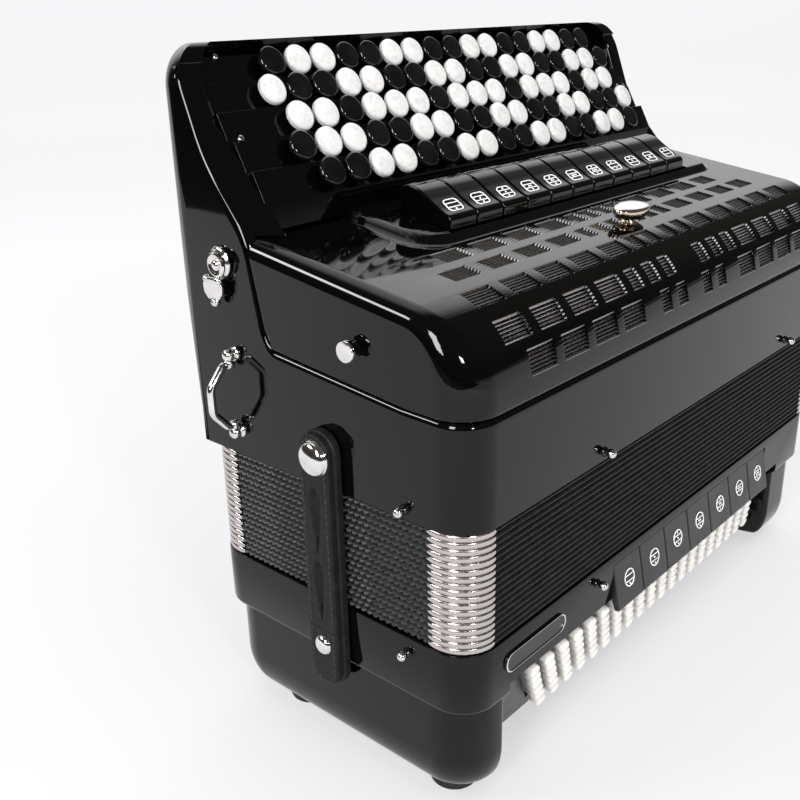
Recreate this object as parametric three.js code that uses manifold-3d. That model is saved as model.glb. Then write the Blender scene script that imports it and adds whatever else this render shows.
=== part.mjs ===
// Chromatic button accordion, standing on its bass feet with the bellows closed.
// Millimetres. +Z up through the bellows, +X along the long side, +Y from the grille to the keyboard's back.
import * as THREE from 'three';
import { mergeVertices } from 'three/addons/utils/BufferGeometryUtils.js';
import Module from 'manifold-3d';

const wasm = await Module();
wasm.setup();

// ---- driving dimensions --------------------------------------------------------------------------
const LENGTH = 408;            // between the two end faces
const DEPTH = 184;             // front face to back face of the bellows and of both cases
const KEYBOARD_DEPTH = 200;    // front face to the back of the keyboard's top
const CORNER = 20;             // radius of the upright corners
const WALL = 6;                // wooden case walls
const GAP = 0.3;               // clearance between neighbouring pieces

const FOOT_TOP = 7.6;          // underside of the bass cover
const BASS_SEAM = 61.5;        // ridge between the bass cover and the bass case
const BELLOWS_BOTTOM = 96.5;
const BELLOWS_TOP = 160;
const KEYBOARD_TOP = BELLOWS_TOP + 205;

const REGISTER_PROUD = 5;      // the bass registers' lower edges stand this far in front
const FRONT = -(KEYBOARD_DEPTH - REGISTER_PROUD) / 2;
const HALF = LENGTH / 2;
const CURVE_STEPS = 3;         // half the straight steps in each rounded corner

// ---- materials -----------------------------------------------------------------------------------
function finish(color, roughness, metalness = 0) {
  return new THREE.MeshStandardMaterial({ color, roughness, metalness });
}
const LACQUER = finish(0x050506, 0.08);
const SATIN_BLACK = finish(0x101012, 0.4);
const NICKEL = finish(0xd8d6d2, 0.18, 1);
const STEEL = finish(0x9a9c9e, 0.35, 1);
const LEATHER = finish(0x0b0b0c, 0.5);
const RUBBER = finish(0x141414, 0.8);
const PEARL = finish(0xf0ede6, 0.25);
const WOOD = finish(0xb98d5a, 0.6);
const CARD = finish(0x0d0d0e, 0.6);

// ---- solids --------------------------------------------------------------------------------------
function solid(geometry) {
  const bare = geometry.clone();
  bare.deleteAttribute('normal');
  bare.deleteAttribute('uv');
  const merged = mergeVertices(bare, 1e-4);
  return new wasm.Manifold(new wasm.Mesh({
    numProp: 3,
    vertProperties: new Float32Array(merged.attributes.position.array),
    triVerts: new Uint32Array(merged.index.array),
  }));
}

function geometryOf(shape) {
  const mesh = shape.getMesh();
  const geometry = new THREE.BufferGeometry();
  geometry.setAttribute('position', new THREE.BufferAttribute(mesh.vertProperties, 3));
  geometry.setIndex(new THREE.BufferAttribute(mesh.triVerts, 1));
  geometry.computeVertexNormals();
  return geometry;
}

function box(x0, x1, y0, y1, z0, z1) {
  const geometry = new THREE.BoxGeometry(x1 - x0, y1 - y0, z1 - z0);
  geometry.translate((x0 + x1) / 2, (y0 + y1) / 2, (z0 + z1) / 2);
  return solid(geometry);
}

function prism(shape, depth) {
  return new THREE.ExtrudeGeometry(shape, { depth, bevelEnabled: false, curveSegments: CURVE_STEPS });
}

function roundedRect(width, height, radius) {
  const x = width / 2 - radius;
  const y = height / 2 - radius;
  const shape = new THREE.Shape();
  shape.absarc(x, y, radius, 0, Math.PI / 2);
  shape.absarc(-x, y, radius, Math.PI / 2, Math.PI);
  shape.absarc(-x, -y, radius, Math.PI, Math.PI * 1.5);
  shape.absarc(x, -y, radius, Math.PI * 1.5, Math.PI * 2);
  shape.closePath();
  return shape;
}

// An upright block with rounded corners, inset from the case's outside.
function upright(inset, z0, z1, depth = DEPTH) {
  const radius = Math.max(CORNER - inset, 3);
  const geometry = prism(roundedRect(LENGTH - 2 * inset, depth - 2 * inset, radius), z1 - z0);
  geometry.translate(0, FRONT + depth / 2, z0);
  return solid(geometry);
}

// A side outline of [v, w] points, v from the front face and w above the bellows top, run along X.
function sideOutline(points, x0, x1) {
  const shape = new THREE.Shape(points.map(([v, w]) => new THREE.Vector2(FRONT + v, BELLOWS_TOP + w)));
  const geometry = prism(shape, x1 - x0);
  const turn = new THREE.Matrix4().makeBasis(
    new THREE.Vector3(0, 1, 0), new THREE.Vector3(0, 0, 1), new THREE.Vector3(1, 0, 0));
  geometry.applyMatrix4(turn);
  geometry.translate(x0, 0, 0);
  return solid(geometry);
}

function rod(radius, length, sides, axis) {
  const geometry = new THREE.CylinderGeometry(radius, radius, length, sides);
  const up = new THREE.Vector3(0, 1, 0);
  geometry.applyQuaternion(new THREE.Quaternion().setFromUnitVectors(up, axis.clone().normalize()));
  return geometry;
}

const X_AXIS = new THREE.Vector3(1, 0, 0);
const Z_AXIS = new THREE.Vector3(0, 0, 1);

const accordion = new THREE.Group();
const bass = new THREE.Group();
const treble = new THREE.Group();
accordion.add(bass, treble);

function place(group, name, shape, material) {
  const geometry = shape.isBufferGeometry ? shape : geometryOf(shape);
  const mesh = new THREE.Mesh(geometry, material);
  mesh.name = name;
  group.add(mesh);
  return mesh;
}

// ---- bass case, bottom cover and button plate ----------------------------------------------------
const COVER_INSET = 3;
const COVER_ROUND = 22;        // height of the bottom cover's rounded edge
const COVER_ROUND_IN = 10;     // how far that edge comes in
const NOTCH_X0 = -HALF + 33;   // the button block's recess
const NOTCH_X1 = -HALF + 356;
const NOTCH_TOP = BELLOWS_TOP - 91;
const BASS_REGISTERS = 7;
const BASS_REGISTER_PITCH = 28.8;
const BASS_REGISTER_X0 = -HALF + 129.4;
const BASS_REGISTER_TOP = BELLOWS_TOP - 70;
const BASS_REGISTER_BOTTOM = BELLOWS_TOP - 98;
const BASS_REGISTER_X1 = BASS_REGISTER_X0 + BASS_REGISTERS * BASS_REGISTER_PITCH;

const PLATE_LEAN = 0.31;       // how far the plate goes back for each mm down
const PLATE_ANGLE = Math.atan(PLATE_LEAN);
const PLATE_THICK = 3;
const PLATE_V = 9;             // the plate's face at the top of the recess
const PLATE_BOTTOM = FOOT_TOP + 1.6;

function plateV(z) {
  return PLATE_V + (NOTCH_TOP - z) * PLATE_LEAN;
}

function plateOutline(ahead, behind, z0, z1, x0, x1) {
  return sideOutline([
    [plateV(z0) - ahead, z0 - BELLOWS_TOP],
    [plateV(z0) + behind, z0 - BELLOWS_TOP],
    [plateV(z1) + behind, z1 - BELLOWS_TOP],
    [plateV(z1) - ahead, z1 - BELLOWS_TOP],
  ], x0, x1);
}

function bassCase() {
  const shell = upright(0, BASS_SEAM, BELLOWS_BOTTOM - GAP).subtract(upright(WALL, 0, BELLOWS_TOP));
  const recess = box(NOTCH_X0, NOTCH_X1, FRONT - 9, FRONT + WALL + 9, 0, NOTCH_TOP);
  const registerRoom = box(BASS_REGISTER_X0 - GAP, BASS_REGISTER_X1 + GAP, FRONT - 9, FRONT + WALL + 3,
    0, BASS_REGISTER_TOP + 2 * GAP);
  return shell.subtract(recess).subtract(registerRoom);
}

// The closed outside of the bottom cover, shrunk by inset.
function coverBlock(inset) {
  const flat = roundedRect(LENGTH - 2 * (COVER_INSET + COVER_ROUND_IN + inset),
    DEPTH - 2 * (COVER_INSET + COVER_ROUND_IN + inset), 2);
  const geometry = new THREE.ExtrudeGeometry(flat, {
    depth: 40, curveSegments: 1, bevelSegments: 4, bevelSize: COVER_ROUND_IN, bevelThickness: COVER_ROUND,
  });
  geometry.translate(0, FRONT + DEPTH / 2, FOOT_TOP + inset + COVER_ROUND);
  return solid(geometry);
}

const AIR_X = -HALF + 60;      // the air button, on the underside behind the hand strap
const AIR_V = 140;
const AIR_STEM_R = 2.5;

function bottomCover() {
  const below = box(-HALF, HALF, FRONT, FRONT + DEPTH, 0, BASS_SEAM - GAP);
  const outside = coverBlock(0).intersect(below);
  const cheek = 3;             // the recess has a thin wall at each end, reaching behind the plate
  const cheekDepth = 34;
  const cheeks = [NOTCH_X0, NOTCH_X1 + cheek].map(
    (x) => box(x - cheek, x, FRONT, FRONT + cheekDepth, FOOT_TOP, BASS_SEAM));
  const hollow = coverBlock(4).subtract(cheeks[0]).subtract(cheeks[1]);
  const reach = 60;            // ahead of the plate far enough to clear the whole front
  const recess = plateOutline(reach, PLATE_THICK + GAP, 0, NOTCH_TOP + 8, NOTCH_X0, NOTCH_X1);
  const railRoom = 13;         // behind the plate, for the rails that join each row of buttons
  const rails = plateOutline(0, PLATE_THICK + railRoom, FOOT_TOP + 2.5, NOTCH_TOP,
    NOTCH_X0 + 20, NOTCH_X1 - 5);
  const airHole = rod(AIR_STEM_R + 0.5, 30, 10, Z_AXIS).translate(AIR_X, FRONT + AIR_V, FOOT_TOP);
  return outside.subtract(hollow).subtract(recess).subtract(rails).subtract(solid(airHole));
}

// Bass buttons: columns lean with the plate and drift along X from one row to the next.
const BASS_ROWS = 6;
const BASS_COLUMNS = 20;
const BASS_PITCH = 13.9;
const BASS_ROW_DX = 5;
const BASS_ROW_DZ = 7.8;
const BASS_X0 = -HALF + 60;
const BASS_Z0 = BELLOWS_TOP - 99.5;
const BASS_BUTTON = 4.6;       // side of a button's square post
const BASS_SLOT = 7.1;         // clears the posts' corners, because the columns run aslant
const BASS_STAND = 8;          // tips above the plate
const BASS_RAIL = 5.6;
const BASS_RAIL_THICK = 3;
const outOfPlate = new THREE.Vector3(0, -Math.cos(PLATE_ANGLE), -Math.sin(PLATE_ANGLE));

function bassSpot(row, column) {
  const z = BASS_Z0 - row * BASS_ROW_DZ;
  return new THREE.Vector3(BASS_X0 + column * BASS_PITCH + row * BASS_ROW_DX, FRONT + plateV(z), z);
}

function buttonPlate() {
  let plate = plateOutline(0, PLATE_THICK, PLATE_BOTTOM, NOTCH_TOP - GAP, NOTCH_X0 + GAP, NOTCH_X1 - GAP);
  for (let column = 0; column < BASS_COLUMNS; column += 1) {
    const first = bassSpot(0, column);
    const last = bassSpot(BASS_ROWS - 1, column);
    const run = last.clone().sub(first);
    const across = new THREE.Vector3().crossVectors(run, outOfPlate).normalize();
    const slot = new THREE.BoxGeometry(BASS_SLOT, run.length() + BASS_SLOT, 20);
    slot.applyMatrix4(new THREE.Matrix4().makeBasis(across, run.clone().normalize(), outOfPlate));
    const middle = first.clone().add(last).multiplyScalar(0.5);
    slot.translate(middle.x, middle.y, middle.z);
    plate = plate.subtract(solid(slot));
  }
  return plate;
}

function bassButtonRow(row) {
  const behind = PLATE_THICK + 1;
  const down = new THREE.Vector3().crossVectors(X_AXIS, outOfPlate);
  const turn = new THREE.Matrix4().makeBasis(X_AXIS, outOfPlate, down);
  const foot = behind + BASS_RAIL_THICK / 2;
  const posts = [];
  for (let column = 0; column < BASS_COLUMNS; column += 1) {
    const centre = bassSpot(row, column).addScaledVector(outOfPlate, (BASS_STAND - foot) / 2);
    const post = new THREE.BoxGeometry(BASS_BUTTON, BASS_STAND + foot, BASS_BUTTON).applyMatrix4(turn);
    posts.push(solid(post.translate(centre.x, centre.y, centre.z)));
  }
  const first = bassSpot(row, 0);
  const last = bassSpot(row, BASS_COLUMNS - 1);
  const rail = new THREE.BoxGeometry(last.x - first.x + BASS_RAIL, BASS_RAIL_THICK, BASS_RAIL);
  rail.applyMatrix4(turn);
  const centre = first.add(last).multiplyScalar(0.5).addScaledVector(outOfPlate, -foot);
  rail.translate(centre.x, centre.y, centre.z);
  return wasm.Manifold.union([solid(rail), ...posts]);
}

// Bass registers: flat tabs hinged along their top edges, lower edges proud of the front face.
function bassRegister() {
  const height = BASS_REGISTER_TOP - BASS_REGISTER_BOTTOM;
  const width = BASS_REGISTER_PITCH - 0.6;
  const top = BASS_REGISTER_TOP - BELLOWS_TOP;
  return sideOutline([
    [0.5, top], [-REGISTER_PROUD, top - height], [-REGISTER_PROUD + 3.5, top - height - 0.6],
    [5.5, top - height * 0.25], [5.5, top],
  ], -width / 2, width / 2);
}

place(bass, 'bass_case', bassCase(), LACQUER);
place(bass, 'bass_bottom_cover', bottomCover(), LACQUER);
place(bass, 'bass_button_plate', buttonPlate(), SATIN_BLACK);
for (let row = 0; row < BASS_ROWS; row += 1) {
  place(bass, `bass_button_row_${row + 1}`, bassButtonRow(row), PEARL);
}
for (let i = 0; i < BASS_REGISTERS; i += 1) {
  const tab = place(bass, `bass_register_${i + 1}`, bassRegister(), SATIN_BLACK);
  tab.position.x = BASS_REGISTER_X0 + (i + 0.5) * BASS_REGISTER_PITCH;
}

// ---- inside the bellows --------------------------------------------------------------------------
const FRAME_WIDTH = 9;
const FRAME_HEIGHT = 17;
const BOARD = 4;
const BLOCK_X = 150;           // half length of the reed blocks

function bellowsFrame(z0) {
  return upright(WALL + GAP, z0, z0 + FRAME_HEIGHT)
    .subtract(upright(WALL + GAP + FRAME_WIDTH, 0, KEYBOARD_TOP));
}

// A board across the case, held back from the mechanism at the front.
function foundationBoard(z0, frontRoom) {
  const room = box(-HALF, HALF, FRONT + frontRoom, FRONT + DEPTH, z0, z0 + BOARD);
  return upright(WALL + GAP, z0, z0 + BOARD).intersect(room);
}

// A reed block tapers away from the board that it stands on.
function reedBlock(v, base, tip) {
  return sideOutline([[v - 16, base], [v + 16, base], [v + 10, tip], [v - 10, tip]], -BLOCK_X, BLOCK_X);
}

const bassFrameZ = BELLOWS_BOTTOM - FRAME_HEIGHT - GAP;
const bassBoardZ = bassFrameZ - BOARD - GAP;
const trebleFrameZ = BELLOWS_TOP + GAP;
const trebleBoardZ = trebleFrameZ + FRAME_HEIGHT + GAP;
place(bass, 'bass_bellows_frame', bellowsFrame(bassFrameZ), WOOD);
place(bass, 'bass_foundation_board', foundationBoard(bassBoardZ, 34), WOOD);
place(bass, 'bass_reed_block', reedBlock(100,
  bassBoardZ + BOARD + GAP - BELLOWS_TOP, -40), WOOD);
const folds = upright(1, BELLOWS_BOTTOM, BELLOWS_TOP - GAP).subtract(upright(22, 0, KEYBOARD_TOP));
place(bass, 'bellows', folds, CARD);
place(treble, 'treble_bellows_frame', bellowsFrame(trebleFrameZ), WOOD);
place(treble, 'treble_foundation_board', foundationBoard(trebleBoardZ, WALL + GAP), WOOD);
place(treble, 'treble_reed_block', reedBlock(80, trebleBoardZ - GAP - BELLOWS_TOP, -34), WOOD);

// ---- feet, hand strap, strap wheel and air button ------------------------------------------------
const FOOT_R = 13;
const FOOT_U = 26;
const FOOT_FRONT_V = 30;
const FOOT_BACK_V = 138;

function foot(x, v) {
  const profile = [[0, 0], [FOOT_R - 2, 0], [FOOT_R, 3], [FOOT_R, 23], [0, 23]];
  const lathe = new THREE.LatheGeometry(profile.map(([r, z]) => new THREE.Vector2(r, z)), 12);
  lathe.rotateX(Math.PI / 2);
  lathe.translate(x, FRONT + v, 0);
  return solid(lathe).subtract(coverBlock(-GAP));
}
[[-1, 'near'], [1, 'far']].forEach(([side, end]) => {
  place(bass, `foot_front_${end}`, foot(side * (HALF - FOOT_U), FOOT_FRONT_V), RUBBER);
  place(bass, `foot_back_${end}`, foot(side * (HALF - FOOT_U), FOOT_BACK_V), RUBBER);
});

// The hand strap bows down from its two ends, leaving room for the hand between it and the cover.
const STRAP_V = 78;
const STRAP_WIDTH = 62;
const STRAP_HALF = 178;
const STRAP_THICK = 2.8;
const STRAP_DROP = 4.2;        // how far its middle hangs below its ends
function handStrap() {
  const top = FOOT_TOP - GAP - BELLOWS_TOP;
  const ends = STRAP_HALF - 18;
  const outline = new THREE.Shape();
  const slope = 26;
  outline.moveTo(-STRAP_HALF, top);
  outline.lineTo(-ends, top);
  outline.lineTo(slope - ends, top - STRAP_DROP);
  outline.lineTo(ends - slope, top - STRAP_DROP);
  outline.lineTo(ends, top);
  outline.lineTo(STRAP_HALF, top);
  outline.lineTo(STRAP_HALF, top - STRAP_THICK);
  outline.lineTo(ends, top - STRAP_THICK);
  outline.lineTo(ends - slope, top - STRAP_DROP - STRAP_THICK);
  outline.lineTo(slope - ends, top - STRAP_DROP - STRAP_THICK);
  outline.lineTo(-ends, top - STRAP_THICK);
  outline.lineTo(-STRAP_HALF, top - STRAP_THICK);
  const geometry = prism(outline, STRAP_WIDTH);
  geometry.rotateX(Math.PI / 2);
  geometry.translate(0, FRONT + STRAP_V + STRAP_WIDTH / 2, BELLOWS_TOP);
  return solid(geometry);
}
place(bass, 'bass_strap', handStrap(), LEATHER);

// The wheel that tightens the hand strap turns in a slot in the far end of the case.
const WHEEL_R = 12;
const WHEEL_X = HALF + 3;
const WHEEL_V = 130;
const WHEEL_Z = BELLOWS_TOP - 83;
place(bass, 'bass_strap_wheel',
  rod(WHEEL_R, 5, 14, X_AXIS).translate(WHEEL_X, FRONT + WHEEL_V, WHEEL_Z), STEEL);

const AIR_CAP = 3;
const AIR_TOP = FOOT_TOP - 3.8;
function airButton() {
  const cap = rod(7, AIR_CAP, 12, Z_AXIS).translate(AIR_X, FRONT + AIR_V, AIR_TOP - AIR_CAP / 2);
  const stem = rod(AIR_STEM_R, 13, 8, Z_AXIS).translate(AIR_X, FRONT + AIR_V, AIR_TOP + 5.5);
  return solid(cap).add(solid(stem));
}
place(bass, 'air_button', airButton(), PEARL);

// ---- treble case ---------------------------------------------------------------------------------
const CHEEK = 15;              // thickness of the case ends beside the keyboard
const SEAM_FRONT = 54;         // the grille cover's seam at the front
const SEAM_BACK = 64;          // and where it turns up beside the keyboard
const CHEEK_V = 134.3;         // the cheek's front edge where the cover ends
const CHEEK_W = 117.3;
const BACK_WALL = 3;
const LIP = 8.6;               // the top lip reaches this far in from the back, clear of the pressed caps
const BACK_BREAK = 165;        // the back leans out up to here and is upright above

function backV(w) {
  return DEPTH + (KEYBOARD_DEPTH - DEPTH) * Math.min(w / BACK_BREAK, 1);
}

function trebleCase() {
  const top = KEYBOARD_TOP - BELLOWS_TOP;
  const end = [
    [0, GAP], [DEPTH, GAP], [KEYBOARD_DEPTH, BACK_BREAK], [KEYBOARD_DEPTH, top - 8],
    [KEYBOARD_DEPTH - 8, top], [183, top], [178.8, 197], [161.3, 150.3], [CHEEK_V, CHEEK_W],
    [128, 74], [122.8, SEAM_BACK], [38.8, SEAM_FRONT + 1.2], [0, SEAM_FRONT],
  ];
  const plan = upright(0, 0, KEYBOARD_TOP, KEYBOARD_DEPTH);
  const face = prism(roundedRect(LENGTH, 2 * KEYBOARD_TOP, 22), 2 * KEYBOARD_DEPTH);
  face.rotateX(Math.PI / 2);
  face.translate(0, KEYBOARD_DEPTH, 0);
  const outside = sideOutline(end, -HALF, HALF).intersect(plan).intersect(solid(face));
  const chamber = sideOutline([
    [WALL, -9], [backV(-9) - WALL, -9], [backV(SEAM_FRONT) - WALL, SEAM_FRONT], [WALL, SEAM_FRONT],
  ], -HALF + WALL, HALF - WALL).intersect(upright(WALL, 0, KEYBOARD_TOP, KEYBOARD_DEPTH));
  const neck = sideOutline([
    [WALL, SEAM_FRONT - 1], [backV(SEAM_FRONT) - WALL, SEAM_FRONT - 1],
    [backV(BACK_BREAK) - BACK_WALL, BACK_BREAK], [KEYBOARD_DEPTH - BACK_WALL, top - 5.5],
    [KEYBOARD_DEPTH - LIP, top - 5.5], [KEYBOARD_DEPTH - LIP - 6, top + 9], [WALL - 9, top + 9],
    [WALL - 9, 80], [WALL, 80],
  ], -HALF + CHEEK, HALF - CHEEK);
  return outside.subtract(chamber).subtract(neck);
}
place(treble, 'treble_case', trebleCase(), LACQUER);

// ---- keyboard ------------------------------------------------------------------------------------
const BUTTON_PITCH = 18.7;
const BUTTON_R = 8.2;
const BUTTON_CAP = 4.5;
const BUTTON_STAND = 8;        // top of a cap above its tread
const ROW_COUNT = [17, 18, 17, 18, 17];
const ROW_START = [66, 55, 62.4, 52.1, 61];   // first button from the near end face, row by row
const TREAD = 17.1;
const RISER = 4;
const BOARD_TILT = 28.6 * Math.PI / 180;      // how far the buttons look up from level
const FIRST_ROW_V = 180.9;                    // top of the back row's caps
const FIRST_ROW_W = 195.3;
const outOfBoard = new THREE.Vector3(0, -Math.cos(BOARD_TILT), Math.sin(BOARD_TILT));
const downBoard = new THREE.Vector3(0, -Math.sin(BOARD_TILT), -Math.cos(BOARD_TILT));
const STEM = 5.4;
const RAIL = 6;
const RAIL_THICK = 2.2;

// Centre of a row's tread, on the board's surface.
function treadCentre(row) {
  return new THREE.Vector3(0, FRONT + FIRST_ROW_V, BELLOWS_TOP + FIRST_ROW_W)
    .addScaledVector(downBoard, row * TREAD)
    .addScaledVector(outOfBoard, row * RISER - BUTTON_STAND);
}

function vw(point) {
  return [point.y - FRONT, point.z - BELLOWS_TOP];
}

function keyboardBoard() {
  const thick = 3;
  const surface = [];
  for (let row = 0; row < 5; row += 1) {
    surface.push(treadCentre(row).addScaledVector(downBoard, -TREAD / 2));
    surface.push(treadCentre(row).addScaledVector(downBoard, TREAD / 2));
  }
  surface[0].addScaledVector(downBoard, 1.2);
  const under = surface.map((point) => point.clone()
    .addScaledVector(outOfBoard, -thick).addScaledVector(downBoard, thick));
  under[0] = surface[0].clone().addScaledVector(outOfBoard, -thick);
  const outline = [
    ...surface.map(vw), [CHEEK_V + 0.5, CHEEK_W + 1.5], [CHEEK_V + 4, CHEEK_W + 1.5],
    ...under.reverse().map(vw),
  ];
  const edge = HALF - CHEEK - GAP;
  let board = sideOutline(outline, -edge, edge);
  ROW_COUNT.forEach((count, row) => {
    const slot = new THREE.BoxGeometry((count - 1) * BUTTON_PITCH + STEM + 2 * GAP, 30, STEM + 2 * GAP);
    board = board.subtract(solid(alongBoard(slot, row, 0)));
  });
  return board;
}

// Turns a box whose Y is its height so that it stands on a row's tread, centred on the row.
function alongBoard(geometry, row, height) {
  const turned = geometry.applyMatrix4(
    new THREE.Matrix4().makeBasis(X_AXIS, outOfBoard, downBoard));
  const middle = treadCentre(row).addScaledVector(outOfBoard, height);
  const x = -HALF + ROW_START[row] + (ROW_COUNT[row] - 1) * BUTTON_PITCH / 2;
  return turned.translate(x, middle.y, middle.z);
}

function trebleButtonRow(row) {
  const count = ROW_COUNT[row];
  const railTop = -3 - GAP;
  const capBottom = BUTTON_STAND - BUTTON_CAP;
  const pieces = [];
  for (let i = 0; i < count; i += 1) {
    const offset = (i - (count - 1) / 2) * BUTTON_PITCH;
    const cap = new THREE.CylinderGeometry(BUTTON_R, BUTTON_R, BUTTON_CAP, 6);
    cap.translate(offset, 0, 0);
    const stem = new THREE.BoxGeometry(STEM, capBottom - railTop + 2, STEM);
    stem.translate(offset, 0, 0);
    pieces.push(solid(alongBoard(cap, row, BUTTON_STAND - BUTTON_CAP / 2)));
    pieces.push(solid(alongBoard(stem, row, (capBottom + railTop) / 2)));
  }
  const rail = new THREE.BoxGeometry((count - 1) * BUTTON_PITCH + RAIL, RAIL_THICK, RAIL);
  pieces.push(solid(alongBoard(rail, row, railTop - RAIL_THICK / 2)));
  return wasm.Manifold.union(pieces);
}

place(treble, 'keyboard_board', keyboardBoard(), LACQUER);
ROW_COUNT.forEach((count, row) => {
  place(treble, `treble_button_row_${row + 1}`, trebleButtonRow(row), row % 2 ? PEARL : LACQUER);
});
place(treble, 'keyboard_axle', rod(2, LENGTH - 2 * CHEEK - 2 * GAP, 8, X_AXIS)
  .translate(0, FRONT + 168, BELLOWS_TOP + 120), STEEL);

// ---- grille cover --------------------------------------------------------------------------------
const COVER_R = 42;            // the cover's front, from the seam over to its top
const COVER_SLOPE = 0.16;      // rise of its top for each mm back
const COVER_SKIN = 3;
const slopeAngle = Math.atan(COVER_SLOPE);
const arcW = 60;               // height of the round front's centre

function coverTopW(v) {
  const lift = COVER_R / Math.cos(slopeAngle);
  return arcW + lift + (v - COVER_R) * COVER_SLOPE;
}

const degrees = Math.PI / 180;
// The round front's flats: each row of sound openings falls inside one of them.
const ARC_ANGLES = [0, 6, 26, 31, 50, 58, 78, 90 - slopeAngle / degrees];

function coverArc(radius) {
  return ARC_ANGLES.map((angle) => [
    COVER_R - radius * Math.cos(angle * degrees), arcW + radius * Math.sin(angle * degrees)]);
}

// Rows of sound openings, mirrored about the middle: two on the sloping top, three round the front.
const OPENING_DEPTH = 11;
const OPENING_ROWS = [
  { v: 66, from: 61, to: 196 }, { v: 48, from: 44, to: 182 }, { angle: 68, from: 34, to: 164 },
  { angle: 40.5, from: 33, to: 156 }, { angle: 16, from: 46, to: 150 },
];

function openingCutter(row, side) {
  const onTop = row.v !== undefined;
  const angle = (row.angle || 0) * degrees;
  const v = onTop ? row.v : COVER_R - COVER_R * Math.cos(angle);
  const w = onTop ? coverTopW(v) : arcW + COVER_R * Math.sin(angle);
  const cutter = new THREE.BoxGeometry(row.to - row.from, OPENING_DEPTH, 10);
  cutter.rotateX(onTop ? slopeAngle : Math.PI / 2 - angle);
  const x = side * (HALF - (row.from + row.to) / 2);
  return solid(cutter.translate(x, FRONT + v, BELLOWS_TOP + w));
}

// Treble registers stand in an opening at the back of the cover's top.
const REGISTERS = 11;
const REGISTER_PITCH = 22.9;
const REGISTER_U0 = 89;
const REGISTER_FRONT_V = 82;

function grilleCover() {
  const outline = [
    [0, SEAM_FRONT + GAP], ...coverArc(COVER_R), [CHEEK_V - 0.6, coverTopW(CHEEK_V)],
    [128 - 0.6, 74], [122.8 - 0.4, SEAM_BACK + GAP], [38.8, SEAM_FRONT + 1.2 + GAP],
  ];
  const inside = [
    [COVER_SKIN, 0], ...coverArc(COVER_R - COVER_SKIN),
    [CHEEK_V + 9, coverTopW(CHEEK_V + 9) - COVER_SKIN], [CHEEK_V + 9, 0],
  ];
  const block = sideOutline(outline, -HALF, HALF).intersect(upright(0, 0, KEYBOARD_TOP, KEYBOARD_DEPTH));
  const openings = OPENING_ROWS.flatMap((row) => [openingCutter(row, -1), openingCutter(row, 1)]);
  const registers = box(-HALF + REGISTER_U0 - 2, -HALF + REGISTER_U0 + REGISTERS * REGISTER_PITCH + 2,
    FRONT + REGISTER_FRONT_V - 1.5, FRONT + 122, BELLOWS_TOP + 90, KEYBOARD_TOP);
  const hollow = sideOutline(inside, -HALF + COVER_SKIN + 1, HALF - COVER_SKIN - 1)
    .intersect(upright(COVER_SKIN, 0, KEYBOARD_TOP, KEYBOARD_DEPTH));
  return block.subtract(hollow)
    .subtract(registers).subtract(wasm.Manifold.union(openings));
}

function trebleRegister() {
  const width = REGISTER_PITCH - 1.2;
  return sideOutline([
    [REGISTER_FRONT_V, 112.5], [REGISTER_FRONT_V, 119], [88, 122.5], [96, 128], [104, 132.5], [112, 133.5],
    [116, 131], [116, 118], [105, 115.5],
  ], -width / 2, width / 2);
}

place(treble, 'grille_cover', grilleCover(), LACQUER);
for (let i = 0; i < REGISTERS; i += 1) {
  const tab = place(treble, `treble_register_${i + 1}`, trebleRegister(), LACQUER);
  tab.position.x = -HALF + REGISTER_U0 + (i + 0.5) * REGISTER_PITCH;
}
place(treble, 'register_rail', sideOutline([[104, 106], [114, 106], [114, 114.5], [107, 113]],
  -HALF + REGISTER_U0 - 1, -HALF + REGISTER_U0 + REGISTERS * REGISTER_PITCH + 1), STEEL);

// ---- medallion -----------------------------------------------------------------------------------
function medallion() {
  const v = 44;
  const disc = new THREE.CylinderGeometry(1, 1, 4, 20);
  disc.scale(15, 1, 8.5);
  disc.rotateX(Math.PI / 2);
  disc.rotateX(slopeAngle);
  disc.translate(0, FRONT + v, BELLOWS_TOP + coverTopW(v) + 8);
  const neck = rod(4, 9, 8, Z_AXIS);
  neck.translate(0, FRONT + v, BELLOWS_TOP + coverTopW(v) + 5.6);
  return solid(disc).add(solid(neck));
}
place(treble, 'medallion', medallion(), NICKEL);

// ---- bellows straps, strap bails and strap hooks on both ends ------------------------------------
const SNAP_STRAP_V = 88;
const SNAP_STRAP_WIDTH = 26;
const SNAP_STRAP_THICK = 8;
const SNAP_STRAP_TOP = 33;
const SNAP_STRAP_BEND = -76;   // the strap bends here, just above its lower screw
const SNAP_STRAP_END = -111;

// A leather strip flat against the end face, between two heights.
function snapStrap(side, w0, w1, roundTop) {
  const half = SNAP_STRAP_WIDTH / 2;
  const shape = new THREE.Shape();
  const outerEnd = roundTop ? w1 - half : w0 + half;
  const innerEnd = roundTop ? w0 : w1;
  const start = roundTop ? 0 : Math.PI;
  shape.moveTo(roundTop ? half : -half, innerEnd);
  shape.lineTo(roundTop ? half : -half, outerEnd);
  shape.absarc(0, outerEnd, half, start, start + Math.PI);
  shape.lineTo(roundTop ? -half : half, innerEnd);
  shape.closePath();
  const geometry = prism(shape, SNAP_STRAP_THICK);
  geometry.applyMatrix4(new THREE.Matrix4().makeBasis(
    new THREE.Vector3(0, 1, 0), new THREE.Vector3(0, 0, 1), X_AXIS));
  const x = side < 0 ? -HALF - 1 - SNAP_STRAP_THICK : HALF + 1;
  return solid(geometry.translate(x, FRONT + SNAP_STRAP_V, BELLOWS_TOP));
}

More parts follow.
